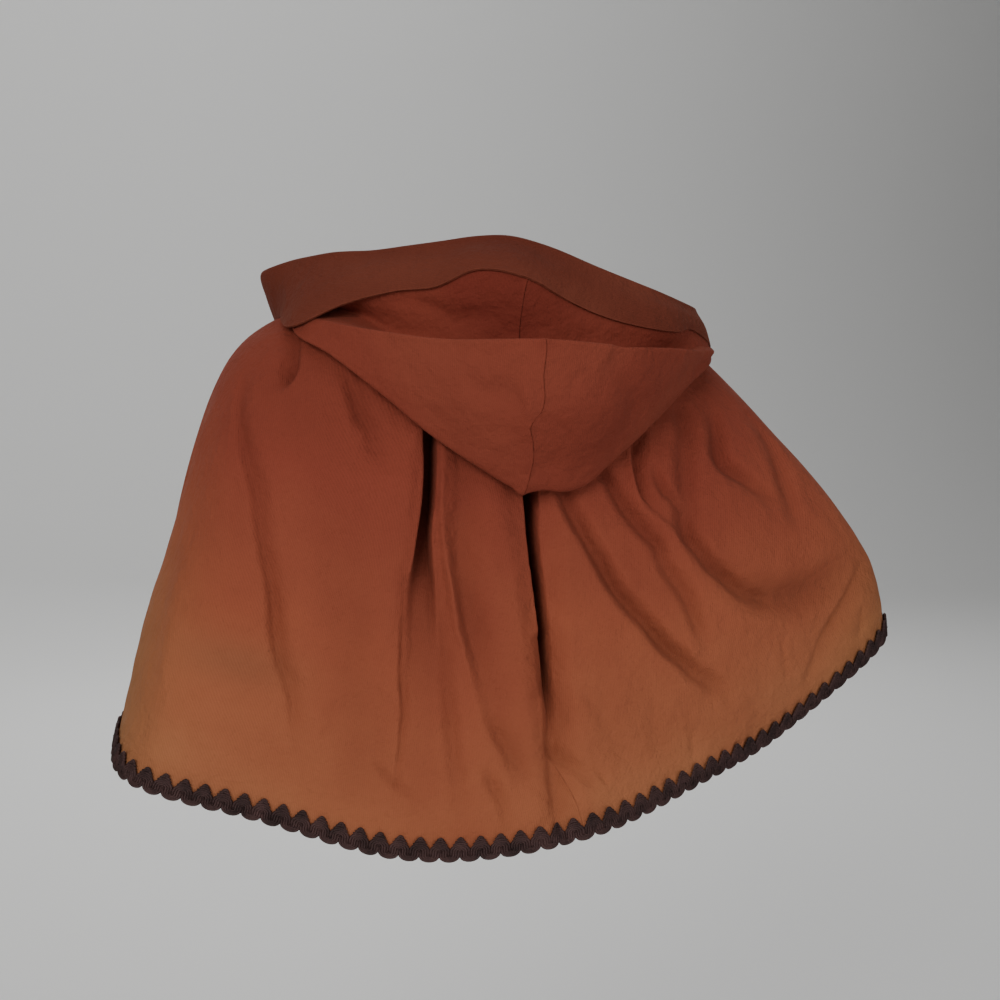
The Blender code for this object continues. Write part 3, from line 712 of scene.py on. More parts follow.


# fine ribbed cloth. stops colour it by its dye value, which on the hood and band also carries painted shade
# and a painted highlight; patches shift it by other values, among them painted shade in folds. The weave's
# height paints shade into its grooves and light onto its threads.
def makeCloth(name, stops, look, patches=(), ribTurn=0.0):
    material, tree, shader = newMaterial(name)
    dyeAndPaintedLight = addNode(tree, "ShaderNodeAttribute", attribute_name="dyeAndPaintedLight").outputs["Fac"]
    uv = addNode(tree, "ShaderNodeUVMap", uv_map="UVMap").outputs[0]
    cloud = noise(tree, uv, look["cloudScale"], 5.0, 0.55)
    mottled = scaledSum(tree, cloud, look["dyeCloud"], -look["dyeCloud"] / 2)
    colour = colourRamp(tree, mathNode(tree, "ADD", dyeAndPaintedLight, mottled), stops)
    for attribute, tint, amount in patches:
        value = addNode(tree, "ShaderNodeAttribute", attribute_name=attribute).outputs["Fac"]
        share = mathNode(tree, "MULTIPLY", value, amount)
        colour = mixColour(tree, "MIX", share, colour, screenColour(*tint))
    turned = addNode(tree, "ShaderNodeMapping", {"Vector": uv, "Rotation": (0, 0, ribTurn)}).outputs[0]
    parts = addNode(tree, "ShaderNodeSeparateXYZ", {0: turned})
    drift = mathNode(tree, "MULTIPLY", noise(tree, uv, 90.0, 2.0), look["slubDrift"])
    across = mathNode(tree, "ADD", parts.outputs[0], drift)
    rib = mathNode(tree, "SINE", mathNode(tree, "MULTIPLY", across, 2 * math.pi / look["ribPitch"]))
    weftPhase = mathNode(tree, "MULTIPLY", parts.outputs[1], 2 * math.pi / look["weftPitch"])
    weft = mathNode(tree, "MULTIPLY", mathNode(tree, "SINE", weftPhase), look["weftShare"])
    weave = mathNode(tree, "ADD", rib, weft)
    grain = mathNode(tree, "MULTIPLY", noise(tree, uv, 1400.0, 2.0), look["grain"])
    height = mathNode(tree, "ADD", weave, grain)
    # painted shade and light of the weave, with the cloud's uneven tone added
    threadShadeAndMottle = mathNode(tree, "ADD", height, mathNode(tree, "MULTIPLY", cloud, look["wornCloud"]))
    shade = scaledSum(tree, threadShadeAndMottle, look["shadeDepth"], look["shadeLevel"])
    dark = addNode(tree, "ShaderNodeCombineColor", {0: shade, 1: shade, 2: shade}).outputs[0]
    placed = addNode(tree, "ShaderNodeTexCoord").outputs["Object"]
    crumple = noise(tree, placed, look["crumpleScale"], 5.0, 0.62)
    soft = addNode(tree, "ShaderNodeBump", {
        "Height": crumple, "Strength": look["crumple"], "Distance": look["crumpleDepth"]})
    bump = addNode(tree, "ShaderNodeBump", {
        "Height": height, "Strength": look["ribStrength"], "Distance": look["ribDepth"],
        "Normal": soft.outputs[0]})
    feed(tree, shader, {
        "Base Color": mixColour(tree, "MULTIPLY", 1.0, colour, dark), "Normal": bump.outputs[0],
        "Roughness": look["roughness"], "Specular IOR Level": look["shine"], "Sheen Weight": look["nap"],
        "Sheen Roughness": 0.5, "Sheen Tint": screenColour(*look["napColour"])})
    return material


# how the dye fades from rust at the neck to ochre at the hem
capeStops = (
    (0.00, (127, 56, 42)), (0.30, (140, 65, 49)), (0.55, (155, 81, 57)), (0.80, (165, 97, 66)),
    (1.00, (172, 112, 75)),
)
dyeAlong = ((0, 0.02), (0.34, 0.12), (0.50, 0.30), (0.66, 0.52), (0.84, 0.74), (1.0, 0.92))
# painted shade: a dark red-brown mixed in by the fold value, deep in creases and folds
paintedFoldShade = ("fold", (52, 15, 9), 1.0)
capePatches = (("ochre", (150, 104, 62), 0.75), ("mark", (126, 84, 58), 0.35), paintedFoldShade)
capeOuter = makeCloth("cape_cloth_outside", capeStops, clothLook, capePatches)
capeInner = makeCloth("cape_cloth_inside", capeStops, clothLook, (("ochre", (146, 100, 62), 0.5),))

capeArea = {}
for side, name in ((1, "left"), (-1, "right")):
    rows = np.linspace(0, 1, cape["rows"])
    hemAngle, along = np.meshgrid(capeColumns(side), rows, indexing="ij")
    angle = columnAngle(hemAngle, along)
    grid = capeSurface(angle, along)
    grid[0] += [side * cape["seamGap"] / 2, 0, 0]
    cutTurn = np.radians(np.abs(hemAngle) / 180 * cape["cutTurn"])
    cutReach = cape["cutRadius"] + along * cape["length"]
    uv = np.stack([side * cutReach * np.sin(cutTurn), -cutReach * np.cos(cutTurn)], -1)
    outerSide = easeIn(np.abs(angle), 50, 100)
    dyeAndPaintedLight = np.interp(along, *zip(*dyeAlong))
    dyeAndPaintedLight = dyeAndPaintedLight + cape["sidePaler"] * outerSide * easeIn(along, 0.25, 0.5)
    dyeAndPaintedLight = dyeAndPaintedLight - cape["panelDarker"] * np.exp(-((angle - 20) / 24) ** 2) * easeIn(along, 0.5, 0.85)
    ochre = easeIn(angle, 60, 84) * easeIn(along, 0.48, 0.95)
    ochre = ochre + 0.5 * easeIn(-angle, 52, 70) * easeIn(along, 0.62, 0.95)
    mark = spot(angle, along, cape["stain"])
    # fold carries the painted shade of creases and deep folds
    tints = {"dyeAndPaintedLight": dyeAndPaintedLight, "ochre": np.clip(ochre, 0, 1), "mark": mark, "fold": foldShade(angle, along)}
    piece = gridMesh("cape_cloth_" + name, grid, side > 0, uv, (capeOuter, capeInner), tints)
    makeWall(piece, cape["thickness"], -1.0)
    capeArea[name] = surfaceArea(grid)
    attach(piece, "root")
    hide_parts("cape_" + name)
print("cape made, area of each half", capeArea)


hood = {
    "thickness": 0.0020,
    "seamGap": 0.0001,
    "neckGap": 0.0007,
    "columns": 190,
    "rows": 130,
    "mapRow": 80,           # the row along which UVs are measured
    "lowestLift": 0.0009,   # of the pouch off the cape, and how much more where it lies furthest out
    "undersideLift": 0.003,
    "furthestShare": 0.47,
    "underAt": 0.35,        # where along its share of the cape it is held, under the pouch and lower
    "lowAt": 0.72,
    "pouchFrom": 0.2,       # the share at which the pouch begins, and over which it fills out
    "pouchOver": 0.15,
    "standingShare": 0.13,
    "tipRadius": 0.004,
    "tipIn": 0.005,
    "faceBulge": 0.010,
    "end": 0.003,
    "behindBand": 0.0042,
    "browLift": 0.003,
    "pocketDrop": 0.016,
    "pocketTurn": 60,
    "browTurn": 80,
    "faceTall": 0.12,
    "ridgeRadius": 0.004,
    "reach": 0.19,          # rough sizes of a half, for the unevenness
    "height": 0.45,
    "softDepth": 0.0009,
    "softSize": 0.10,
    "seamRidge": 0.0007,
    "seamWidth": 0.0020,
    "creaseShade": 0.05,    # painted shade for each millimetre of a crease, and its most
    "creaseShadeMost": 0.3,
    "bandShade": 0.45,      # painted shade under the band: how much, where along and how wide
    "bandShadeAt": 0.785,
    "bandShadeWidth": 0.04,
    "fadedSpot": (-27, 7, 0.57, 0.05),
}
hoodColumns = (
    "angle", "share", "tipReach", "tipHeight", "ridgeReach", "ridgeHeight",
    "valleyReach", "valleyHeight", "foldReach", "foldHeight", "edgeReach", "edgeHeight",
)
hoodSections = (
    (-177, 0.00, 0.0665, -0.04, 0.069, -0.035, 0.072, -0.029, 0.077, -0.014, 0.101, -0.054),
    (-155, 0.00, 0.070, -0.036, 0.074, -0.032, 0.078, -0.027, 0.087, -0.013, 0.114, -0.052),
    (-135, 0.05, 0.085, -0.036, 0.091, -0.034, 0.097, -0.03, 0.112, -0.018, 0.132, -0.062),
    (-118, 0.13, 0.118, -0.045, 0.127, -0.043, 0.136, -0.04, 0.152, -0.03, 0.166, -0.074),
    (-102, 0.23, 0.176, -0.063, 0.178, -0.058, 0.178, -0.053, 0.180, -0.04, 0.202, -0.079),
    (-86, 0.30, 0.202, -0.073, 0.200, -0.067, 0.196, -0.061, 0.195, -0.047, 0.220, -0.090),
    (-79, 0.33, 0.216, -0.088, 0.213, -0.081, 0.209, -0.075, 0.203, -0.051, 0.226, -0.096),
    (-72, 0.35, 0.224, -0.099, 0.225, -0.091, 0.220, -0.086, 0.207, -0.053, 0.224, -0.089),
    (-58, 0.38, 0.205, -0.122, 0.217, -0.091, 0.208, -0.085, 0.194, -0.045, 0.206, -0.071),
    (-45, 0.40, 0.190, -0.147, 0.213, -0.087, 0.190, -0.081, 0.178, -0.033, 0.201, -0.071),
    (-30, 0.43, 0.178, -0.176, 0.210, -0.083, 0.174, -0.076, 0.151, -0.015, 0.173, -0.061),
    (-15, 0.46, 0.173, -0.202, 0.209, -0.078, 0.160, -0.069, 0.131, 0.002, 0.158, -0.044),
    (-10, 0.47, 0.1713, -0.2035, 0.2077, -0.0758, 0.156, -0.0669, 0.1256, 0.0062, 0.1563, -0.0368),
    (-4, 0.47, 0.1693, -0.2012, 0.2054, -0.0731, 0.1516, -0.0648, 0.120, 0.0102, 0.1559, -0.0277),
    (0, 0.47, 0.168, -0.2025, 0.203, -0.072, 0.149, -0.064, 0.117, 0.012, 0.155, -0.023),
    (3, 0.47, 0.1671, -0.204, 0.2005, -0.0718, 0.1472, -0.064, 0.1152, 0.0127, 0.1535, -0.0204),
    (5, 0.46, 0.1664, -0.1985, 0.1986, -0.0719, 0.146, -0.0642, 0.1142, 0.0129, 0.1523, -0.0188),
    (8, 0.46, 0.1655, -0.1935, 0.1954, -0.0723, 0.1444, -0.0647, 0.113, 0.0128, 0.1503, -0.017),
    (15, 0.44, 0.164, -0.181, 0.188, -0.073, 0.141, -0.066, 0.111, 0.012, 0.146, -0.016),
    (30, 0.38, 0.165, -0.153, 0.175, -0.072, 0.136, -0.067, 0.110, 0.008, 0.140, -0.031),
    (45, 0.34, 0.172, -0.118, 0.170, -0.067, 0.133, -0.064, 0.116, 0.004, 0.143, -0.035),
    (60, 0.30, 0.180, -0.087, 0.172, -0.062, 0.139, -0.056, 0.125, 0.000, 0.161, -0.046),
    (75, 0.27, 0.184, -0.067, 0.172, -0.055, 0.149, -0.047, 0.144, -0.002, 0.187, -0.066),
    (82, 0.25, 0.171, -0.054, 0.167, -0.047, 0.156, -0.04, 0.154, -0.005, 0.183, -0.063),
    (90, 0.23, 0.160, -0.046, 0.159, -0.04, 0.158, -0.033, 0.166, -0.009, 0.177, -0.059),
    (104, 0.19, 0.148, -0.049, 0.157, -0.046, 0.166, -0.042, 0.188, -0.02, 0.178, -0.066),
    (118, 0.13, 0.112, -0.042, 0.122, -0.04, 0.132, -0.036, 0.152, -0.02, 0.164, -0.066),
    (135, 0.05, 0.084, -0.035, 0.091, -0.033, 0.097, -0.029, 0.112, -0.014, 0.132, -0.06),
    (155, 0.00, 0.070, -0.036, 0.074, -0.032, 0.078, -0.027, 0.087, -0.012, 0.114, -0.051),
    (177, 0.00, 0.0665, -0.04, 0.069, -0.035, 0.072, -0.029, 0.077, -0.014, 0.101, -0.054),
)
hoodKnots = (0.0, 0.12, 0.26, 0.38, 0.42, 0.46, 0.56, 0.66, 0.68, 0.70, 0.79, 0.88, 0.97, 1.0)

# how far the hood's centre seam wanders with its folds, in degrees
hoodSeam = (
    (0.0, 0.0), (0.36, 2.2), (0.416, 2.4), (0.446, 1.0), (0.47, 0.6), (0.50, 1.5), (0.536, 2.4),
    (0.552, 0.5), (0.569, 0.0), (0.602, 0.5), (0.644, 0.0), (0.69, 0.4), (0.76, 1.2), (0.833, 1.0),
    (0.863, 0.0), (0.902, -3.0), (1.0, -4.0),
)

# creases drawn on the pouch and on the cloth above its ridge, as on the cape
hoodCreases = {
    "under band left": (12, 5, (
        (46, 0.862, 1), (37, 0.858, 4), (30, 0.848, 6), (25, 0.836, 7), (20, 0.829, 6), (15, 0.828, 5),
        (11, 0.833, 4), (7, 0.824, 2), (4, 0.82, 0),
    )),
    "seam nick": (5, 4, (
        (4, 0.552, 0), (1.5, 0.542, 2), (-2, 0.534, 2), (-5, 0.527, 1.6), (-9, 0.503, 1),
        (-12, 0.48, 0),
    )),
    "seam swell": (8, 10, (
        (6, 0.6, 0), (4, 0.57, -2), (3, 0.545, -2), (3, 0.51, 0),
    )),
    "dent left": (18, 24, (
        (20, 0.585, 0), (15, 0.57, 3), (9, 0.565, 3), (5, 0.57, 0),
    )),
    "ridge left": (6, 10, (
        (16, 0.575, 0), (13, 0.592, -1), (9, 0.623, -1.4), (4.5, 0.638, -1), (2, 0.64, 0),
    )),
    "small line": (3, 4, (
        (16, 0.632, 0), (14, 0.637, 1), (9.5, 0.646, 1), (5, 0.652, 0),
    )),
    "dent right": (24, 24, (
        (-15, 0.65, 0), (-18, 0.63, 3), (-23, 0.585, 4), (-28.5, 0.53, 3), (-33, 0.5, 0),
    )),
}

band = {
    "thickness": 0.0020,
    "gap": 0.0007,
    "roll": 0.0025,
    "leg": 0.0015,
    "bow": 0.0015,
    "join": -30,
    "joinLean": -2.5,
    "joinGap": 0.0001,
    "columns": 260,
    "rows": 40,
    "mapRow": 25,
}


def hoodSize(name, angle):
    angles = column(hoodSections, hoodColumns, "angle")
    return readSmooth(angles, column(hoodSections, hoodColumns, name), angle)


def hoodLine(name, angle, outer=0.0, upper=0.0):
    reach = hoodSize(name + "Reach", angle) + outer
    return outFromAxis(angle, reach, hoodSize(name + "Height", angle) + upper)


def bandRollPoint(angle, turn, drop):
    reach = hoodSize("foldReach", angle) + band["roll"] * math.cos(math.radians(turn))
    height = hoodSize("foldHeight", angle) - band["thickness"] / 2 - band["roll"]
    return outFromAxis(angle, reach, height + band["roll"] * math.sin(math.radians(turn)) - drop)


# middle of the hood's wall: neck seam, down under the pouch, round its tip, up over the ridge
def hoodSurface(angle, along):
    half = hood["thickness"] / 2
    share = hoodSize("share", angle)
    pouch = np.clip((share - hood["pouchFrom"]) / hood["pouchOver"], 0, 1)

    def onCape(part, lift):
        out = capeFrame(angle, share * part)[0]
        return capeBase(angle, share * part) + (lift + half)[..., None] * out

    lift = hood["lowestLift"] + hood["undersideLift"] * (share / hood["furthestShare"]) ** 2
    seam = onCape(0.0, hood["neckGap"] + 0 * angle)
    standing = np.clip(1 - share / hood["standingShare"], 0, 1)[..., None]
    tip = hoodLine("tip", angle, -hood["tipIn"] * pouch)
    under = onCape(hood["underAt"], lift) * (1 - standing) + (seam * 0.75 + tip * 0.25) * standing
    low = onCape(hood["lowAt"], 1.4 * lift) * (1 - standing) + (seam * 0.40 + tip * 0.60) * standing
    ridge = hoodLine("ridge", angle)
    pocket = hood["pocketDrop"] * np.clip(1 - (angle / hood["pocketTurn"]) ** 2, 0, 1)
    valley = hoodLine("valley", angle, 0.0, -pocket)
    top = bandRollPoint(angle, 180, band["leg"]) - [0, 0, band["gap"]]
    outward = outFromAxis(angle, 1 + 0 * angle, 0)
    up = np.array([0.0, 0.0, 1.0])
    soft = (hood["tipRadius"] * pouch)[..., None]
    beforeTip = low * 0.2 + tip * 0.8 + soft * (up * 0.9 - outward * 0.9)
    afterTip = tip * 0.8 + ridge * 0.2 + soft * (outward * 0.7 - up * 0.4)
    tall = np.clip(np.linalg.norm(ridge - tip, axis=-1) / hood["faceTall"], 0, 1)
    bulge = (hood["faceBulge"] * pouch * tall**2)[..., None]
    face = tip * 0.42 + ridge * 0.58 + bulge * outward
    near = np.clip(1 - (angle / hood["browTurn"]) ** 4, 0, 1)[..., None]
    behindEdge = hoodLine("edge", angle, -hood["behindBand"], hood["browLift"])
    brow = (valley * 0.45 + top * 0.55) * (1 - near) + behindEdge * near
    crisp = (hood["ridgeRadius"] * pouch)[..., None]
    beforeRidge = ridge + crisp * unit(face - ridge)
    afterRidge = ridge + crisp * unit(valley - ridge)
    return readPath(hoodKnots, np.stack([
        seam, under, low, beforeTip, tip, afterTip, face, beforeRidge, ridge, afterRidge,
        valley, brow, top - up * hood["end"], top,
    ]), along)


def surfaceOut(surface, angle, along):
    across = surface(angle + 0.3, along) - surface(angle - 0.3, along)
    down = surface(angle, np.clip(along + 0.004, 0, 1)) - surface(angle, np.clip(along - 0.004, 0, 1))
    out = np.cross(down, across)
    return out / np.maximum(np.linalg.norm(out, axis=-1, keepdims=True), 1e-9)


hoodStops = ((0.0, (119, 49, 37)), (0.5, (134, 61, 46)), (1.0, (146, 75, 56)))
hoodPatches = (("faded", (128, 70, 62), 0.45), paintedFoldShade)
hoodLeft = makeCloth("hood_cloth_left", hoodStops, clothLook, hoodPatches, math.radians(38))
hoodRight = makeCloth("hood_cloth_right", hoodStops, clothLook, hoodPatches, math.radians(-38))
hoodInside = makeCloth("hood_cloth_inside", hoodStops, clothLook)
bandStops = ((0.0, (97, 43, 31)), (0.5, (107, 50, 36)), (1.0, (122, 62, 46)))
bandCloth = makeCloth("band_cloth_outside", bandStops, clothLook, (), math.radians(90))

hoodArea = {}
for side, name, cloth in ((1, "left", hoodLeft), (-1, "right", hoodRight)):
    fine = np.linspace(0, 177, 709)
    angles = side * packedPlaces(fine, 1 + 1.6 * (1 - easeIn(fine, 70, 100)), hood["columns"])
    angle, along = np.meshgrid(angles, np.linspace(0, 1, hood["rows"]), indexing="ij")
    angle = angle + seamAngle(hoodSeam, along) * np.clip(1 - (angle / 24) ** 2, 0, 1) ** 2
    grid = hoodSurface(angle, along)
    out = surfaceOut(hoodSurface, angle, along)
    depth = drawnDepth(hoodCreases, hoodSurface, grid, out)
    calm = easeIn(along, 0.40, 0.46) * (1 - easeIn(along, 0.80, 0.95))
    u, v = np.radians(angle) * hood["reach"], along * hood["height"]
    depth -= calm * hood["softDepth"] * unevenness(u, v, hood["softSize"], 5)
    aside = np.radians(angle - seamAngle(hoodSeam, along)) * np.hypot(grid[..., 0], grid[..., 1])
    ridge = np.exp(-(aside / hood["seamWidth"]) ** 2)
    depth -= hood["seamRidge"] * ridge * easeIn(along, 0.38, 0.42)
    grid = grid - depth[..., None] * out
    grid[0] += [side * hood["seamGap"] / 2, 0, 0]
    uv = clothMap(grid, side, hood["mapRow"])
    # uneven dye, made darker from the ridge up under the band as painted shade
    dyeAndPaintedLight = 0.5 + 0.25 * unevenness(uv[..., 0], uv[..., 1], 0.2, 12) - 0.3 * easeIn(along, 0.70, 0.9)
    faded = spot(angle, along, hood["fadedSpot"])
    # painted shade: darker under the band and down in the creases, carried by fold
    low = np.exp(-((along - hood["bandShadeAt"]) / hood["bandShadeWidth"]) ** 2)
    low = low * np.clip(1 - (angle / 85) ** 2, 0, 1)
    fold = hood["bandShade"] * low
    fold = fold + np.clip(hood["creaseShade"] * depth * 1000, 0, hood["creaseShadeMost"])
    piece = gridMesh("hood_cloth_" + name, grid, side > 0, uv, (cloth, hoodInside),
                     {"dyeAndPaintedLight": dyeAndPaintedLight, "faded": faded, "fold": fold})
    makeWall(piece, hood["thickness"], 0.0)
    hoodArea[name] = surfaceArea(grid)
    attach(piece, "root")
    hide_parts("hood_" + name)
print("hood made, area of each half", hoodArea)


bandKnots = (0.0, 0.07, 0.12, 0.17, 0.22, 0.27, 0.60, 1.0)


def bandSurface(angle, along):
    edge = hoodLine("edge", angle)
    roll = [bandRollPoint(angle, turn, 0) for turn in (180, 135, 90, 45, 0)]
    bowed = roll[-1] * 0.5 + edge * 0.5 + outFromAxis(angle, band["bow"] + 0 * angle, band["bow"])
    path = np.stack([bandRollPoint(angle, 180, band["leg"]), *roll, bowed, edge])
    return readPath(bandKnots, path, along)


bandArea = {}
for side, name in ((1, "left"), (-1, "right")):
    end = side * 177
    count = int(band["columns"] * abs(end - band["join"]) / 354)
    angles = band["join"] + (end - band["join"]) * np.linspace(0, 1, count)
    angle, along = np.meshgrid(angles, np.linspace(0, 1, band["rows"]), indexing="ij")
    lean = band["joinLean"] * (1 - 2 * along) * np.clip(1 - ((angle - band["join"]) / 10) ** 2, 0, 1) ** 2
    grid = bandSurface(angle + lean, along)
    turn = math.radians(band["join"])
    grid[0] += side * band["joinGap"] / 2 * np.array([math.cos(turn), -math.sin(turn), 0])
    uv = clothMap(grid, side, band["mapRow"])
    # uneven dye, with a painted highlight along the band's free edge
    dyeAndPaintedLight = 0.5 + 0.3 * unevenness(uv[..., 0], uv[..., 1] * 2, 0.15, 21) + 0.3 * easeIn(along, 0.97, 1.0)
    piece = gridMesh("band_cloth_" + name, grid, side > 0, uv, (bandCloth, bandCloth), {"dyeAndPaintedLight": dyeAndPaintedLight})
    makeWall(piece, band["thickness"], 0.0)
    bandArea[name] = surfaceArea(grid)
    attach(piece, "root")
    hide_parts("hood_band_" + name)
print("band made, area of each length", bandArea)


braid = {
    "pitch": 0.0165,
    "cords": 4,
    "cordRadius": 0.00100,
    "cordWidth": 1.35,        # a cord's size across and off the cloth, in radii
    "cordLift": 1.7,
    "archFoot": 0.0014,
    "archHeight": 0.0055,
    "scallopFoot": 0.0021,
    "scallopHeight": 0.0046,
    "endsPast": 0.0002,       # how far cords reach into the next repeat
    "peakRadius": 0.00090,
    "peakDroop": 0.0017,
    "peakLift": 0.0002,
    "stitchRadius": 0.00022,
    "stitchReach": (0.0009, 0.0007),
    "stitchFoot": 0.0013,
    "stitchTop": 0.0019,
    "stitches": ((0.0013, 0.0012), (0.00825, 0.0002)),
    "lift": 0.0012,           # of the whole braid off the cloth, and how far it hangs below the hem
    "drop": 0.0,
    "guideRow": 0.965,        # the line above the hem that gives the way down
    "guidePoints": 900,
}

# the short cords stacked on each arch: height of the middle, half length
peakCords = ((0.0078, 0.0056), (0.0098, 0.0041), (0.0116, 0.0022))

cordLook = {
    "fuzzScale": 900.0,
    "patchScale": 60.0,
    "fuzzStrength": 0.35,
    "fuzzDepth": 0.0002,
    "roughness": 0.7,
    "shine": 0.28,
}
cordStops = ((0.35, (40, 26, 25)), (0.65, (84, 58, 56)))


# points and faces of a closed round cord along a path in the braid's own plane
def cordTube(points, radius, sides=4):
    path = np.array(points, float)
    ahead = unit(np.gradient(path, axis=0))
    aside = np.stack([-ahead[:, 1], ahead[:, 0], 0 * ahead[:, 0]], 1) * braid["cordWidth"]
    lift = np.array([0.0, 0.0, braid["cordLift"]])
    verts, faces = [], []
    for place, across in zip(path, aside):
        for turn in 2 * math.pi * np.arange(sides) / sides:
            verts.append(place + radius * (across * math.cos(turn) + lift * math.sin(turn)))
    for i in range(len(path) - 1):
        for k in range(sides):
            a, b = i * sides + k, i * sides + (k + 1) % sides
            faces.append((a, b, b + sides, a + sides))
    faces.append(tuple(range(sides))[::-1])
    faces.append(tuple(len(verts) - sides + k for k in range(sides)))
    return verts, faces


# one repeat: cords winding down through a scallop and up over an arch, with a stepped peak
def braidRepeat():
    verts, faces = [], []

    def addCord(points, radius):
        more, sides = cordTube(points, radius)
        faces.extend(tuple(i + len(verts) for i in face) for face in sides)
        verts.extend(more)

    half = braid["pitch"] / 2
    spacing = half / braid["cords"]
    for k in range(braid["cords"]):
        low = spacing * (k + 0.5)
        high = half - low
        sag, rise = braid["scallopHeight"] * low / half, braid["archHeight"] * high / half
        points = [(-braid["endsPast"], -braid["scallopFoot"] - sag, 0.0)]
        for turn in np.linspace(0, math.pi / 2, 3 + round(4 * low / half)):
            points.append((low * math.sin(turn), -braid["scallopFoot"] - sag * math.cos(turn), 0.0))
        for turn in np.linspace(math.pi / 2, 0, 3 + round(4 * high / half)):
            points.append((half - high * math.sin(turn), braid["archFoot"] + rise * math.cos(turn), 0.0))
        addCord(points + [(2 * half - x, y, z) for x, y, z in points[-2::-1]], braid["cordRadius"])
    for height, reach in peakCords:
        points = [(half + reach * x, height - braid["peakDroop"] * x * x, braid["peakLift"])
                  for x in np.linspace(-1, 1, 6)]
        addCord(points, braid["peakRadius"])
    # the stitches that hold it to the hem
    right, up = braid["stitchReach"]
    for x, y in braid["stitches"]:
        start = (x - right, y - up, braid["stitchFoot"])
        end = (x + right, y + up, braid["stitchFoot"])
        addCord([start, (x, y, braid["stitchTop"]), end], braid["stitchRadius"])
    return bpy.data.objects.new("braid_repeat", smoothMesh("braid_repeat", [tuple(v) for v in verts], faces))


def braidMaterial(look):
    material, tree, shader = newMaterial("gimp_cord")
    where = addNode(tree, "ShaderNodeTexCoord").outputs["Object"]
    fuzz = noise(tree, where, look["fuzzScale"], 2.0)
    both = mathNode(tree, "ADD", fuzz, noise(tree, where, look["patchScale"], 2.0))
    colour = colourRamp(tree, mathNode(tree, "MULTIPLY", both, 0.5), cordStops)
    bump = addNode(tree, "ShaderNodeBump", {
        "Height": fuzz, "Strength": look["fuzzStrength"], "Distance": look["fuzzDepth"]})
    feed(tree, shader, {"Base Color": colour, "Normal": bump.outputs[0],
                        "Roughness": look["roughness"], "Specular IOR Level": look["shine"]})
    return material


# the hem as a chain of points that know which way is down and out
def hemGuide(side):
    fine = np.linspace(0, side * 180, 1401)
    hem = capeSurface(fine, np.ones_like(fine))
    down = unit(hem - capeSurface(fine, np.full_like(fine, braid["guideRow"])))
    run = runAlong(hem)
    even = np.linspace(0, run[-1], braid["guidePoints"])
    hem, down = (np.stack([np.interp(even, run, line[:, k]) for k in range(3)], 1) for line in (hem, down))
    out = unit(side * np.cross(np.gradient(hem, axis=0), down))
    data = bpy.data.meshes.new("hem_guide")
    data.from_pydata(hem.tolist(), [(i, i + 1) for i in range(len(hem) - 1)], [])
    for label, values in (("downward", down), ("outward", out)):
        held = data.attributes.new(label, "FLOAT_VECTOR", "POINT")
        held.data.foreach_set("vector", values.astype(np.float32).reshape(-1))
    return bpy.data.objects.new("hem_guide", data), run[-1]


def usedSocket(sockets, name):
    return [socket for socket in sockets if socket.name == name and socket.enabled][0]


def vectorNode(tree, operation, inputs):
    return addNode(tree, "ShaderNodeVectorMath", inputs, operation=operation).outputs[0]


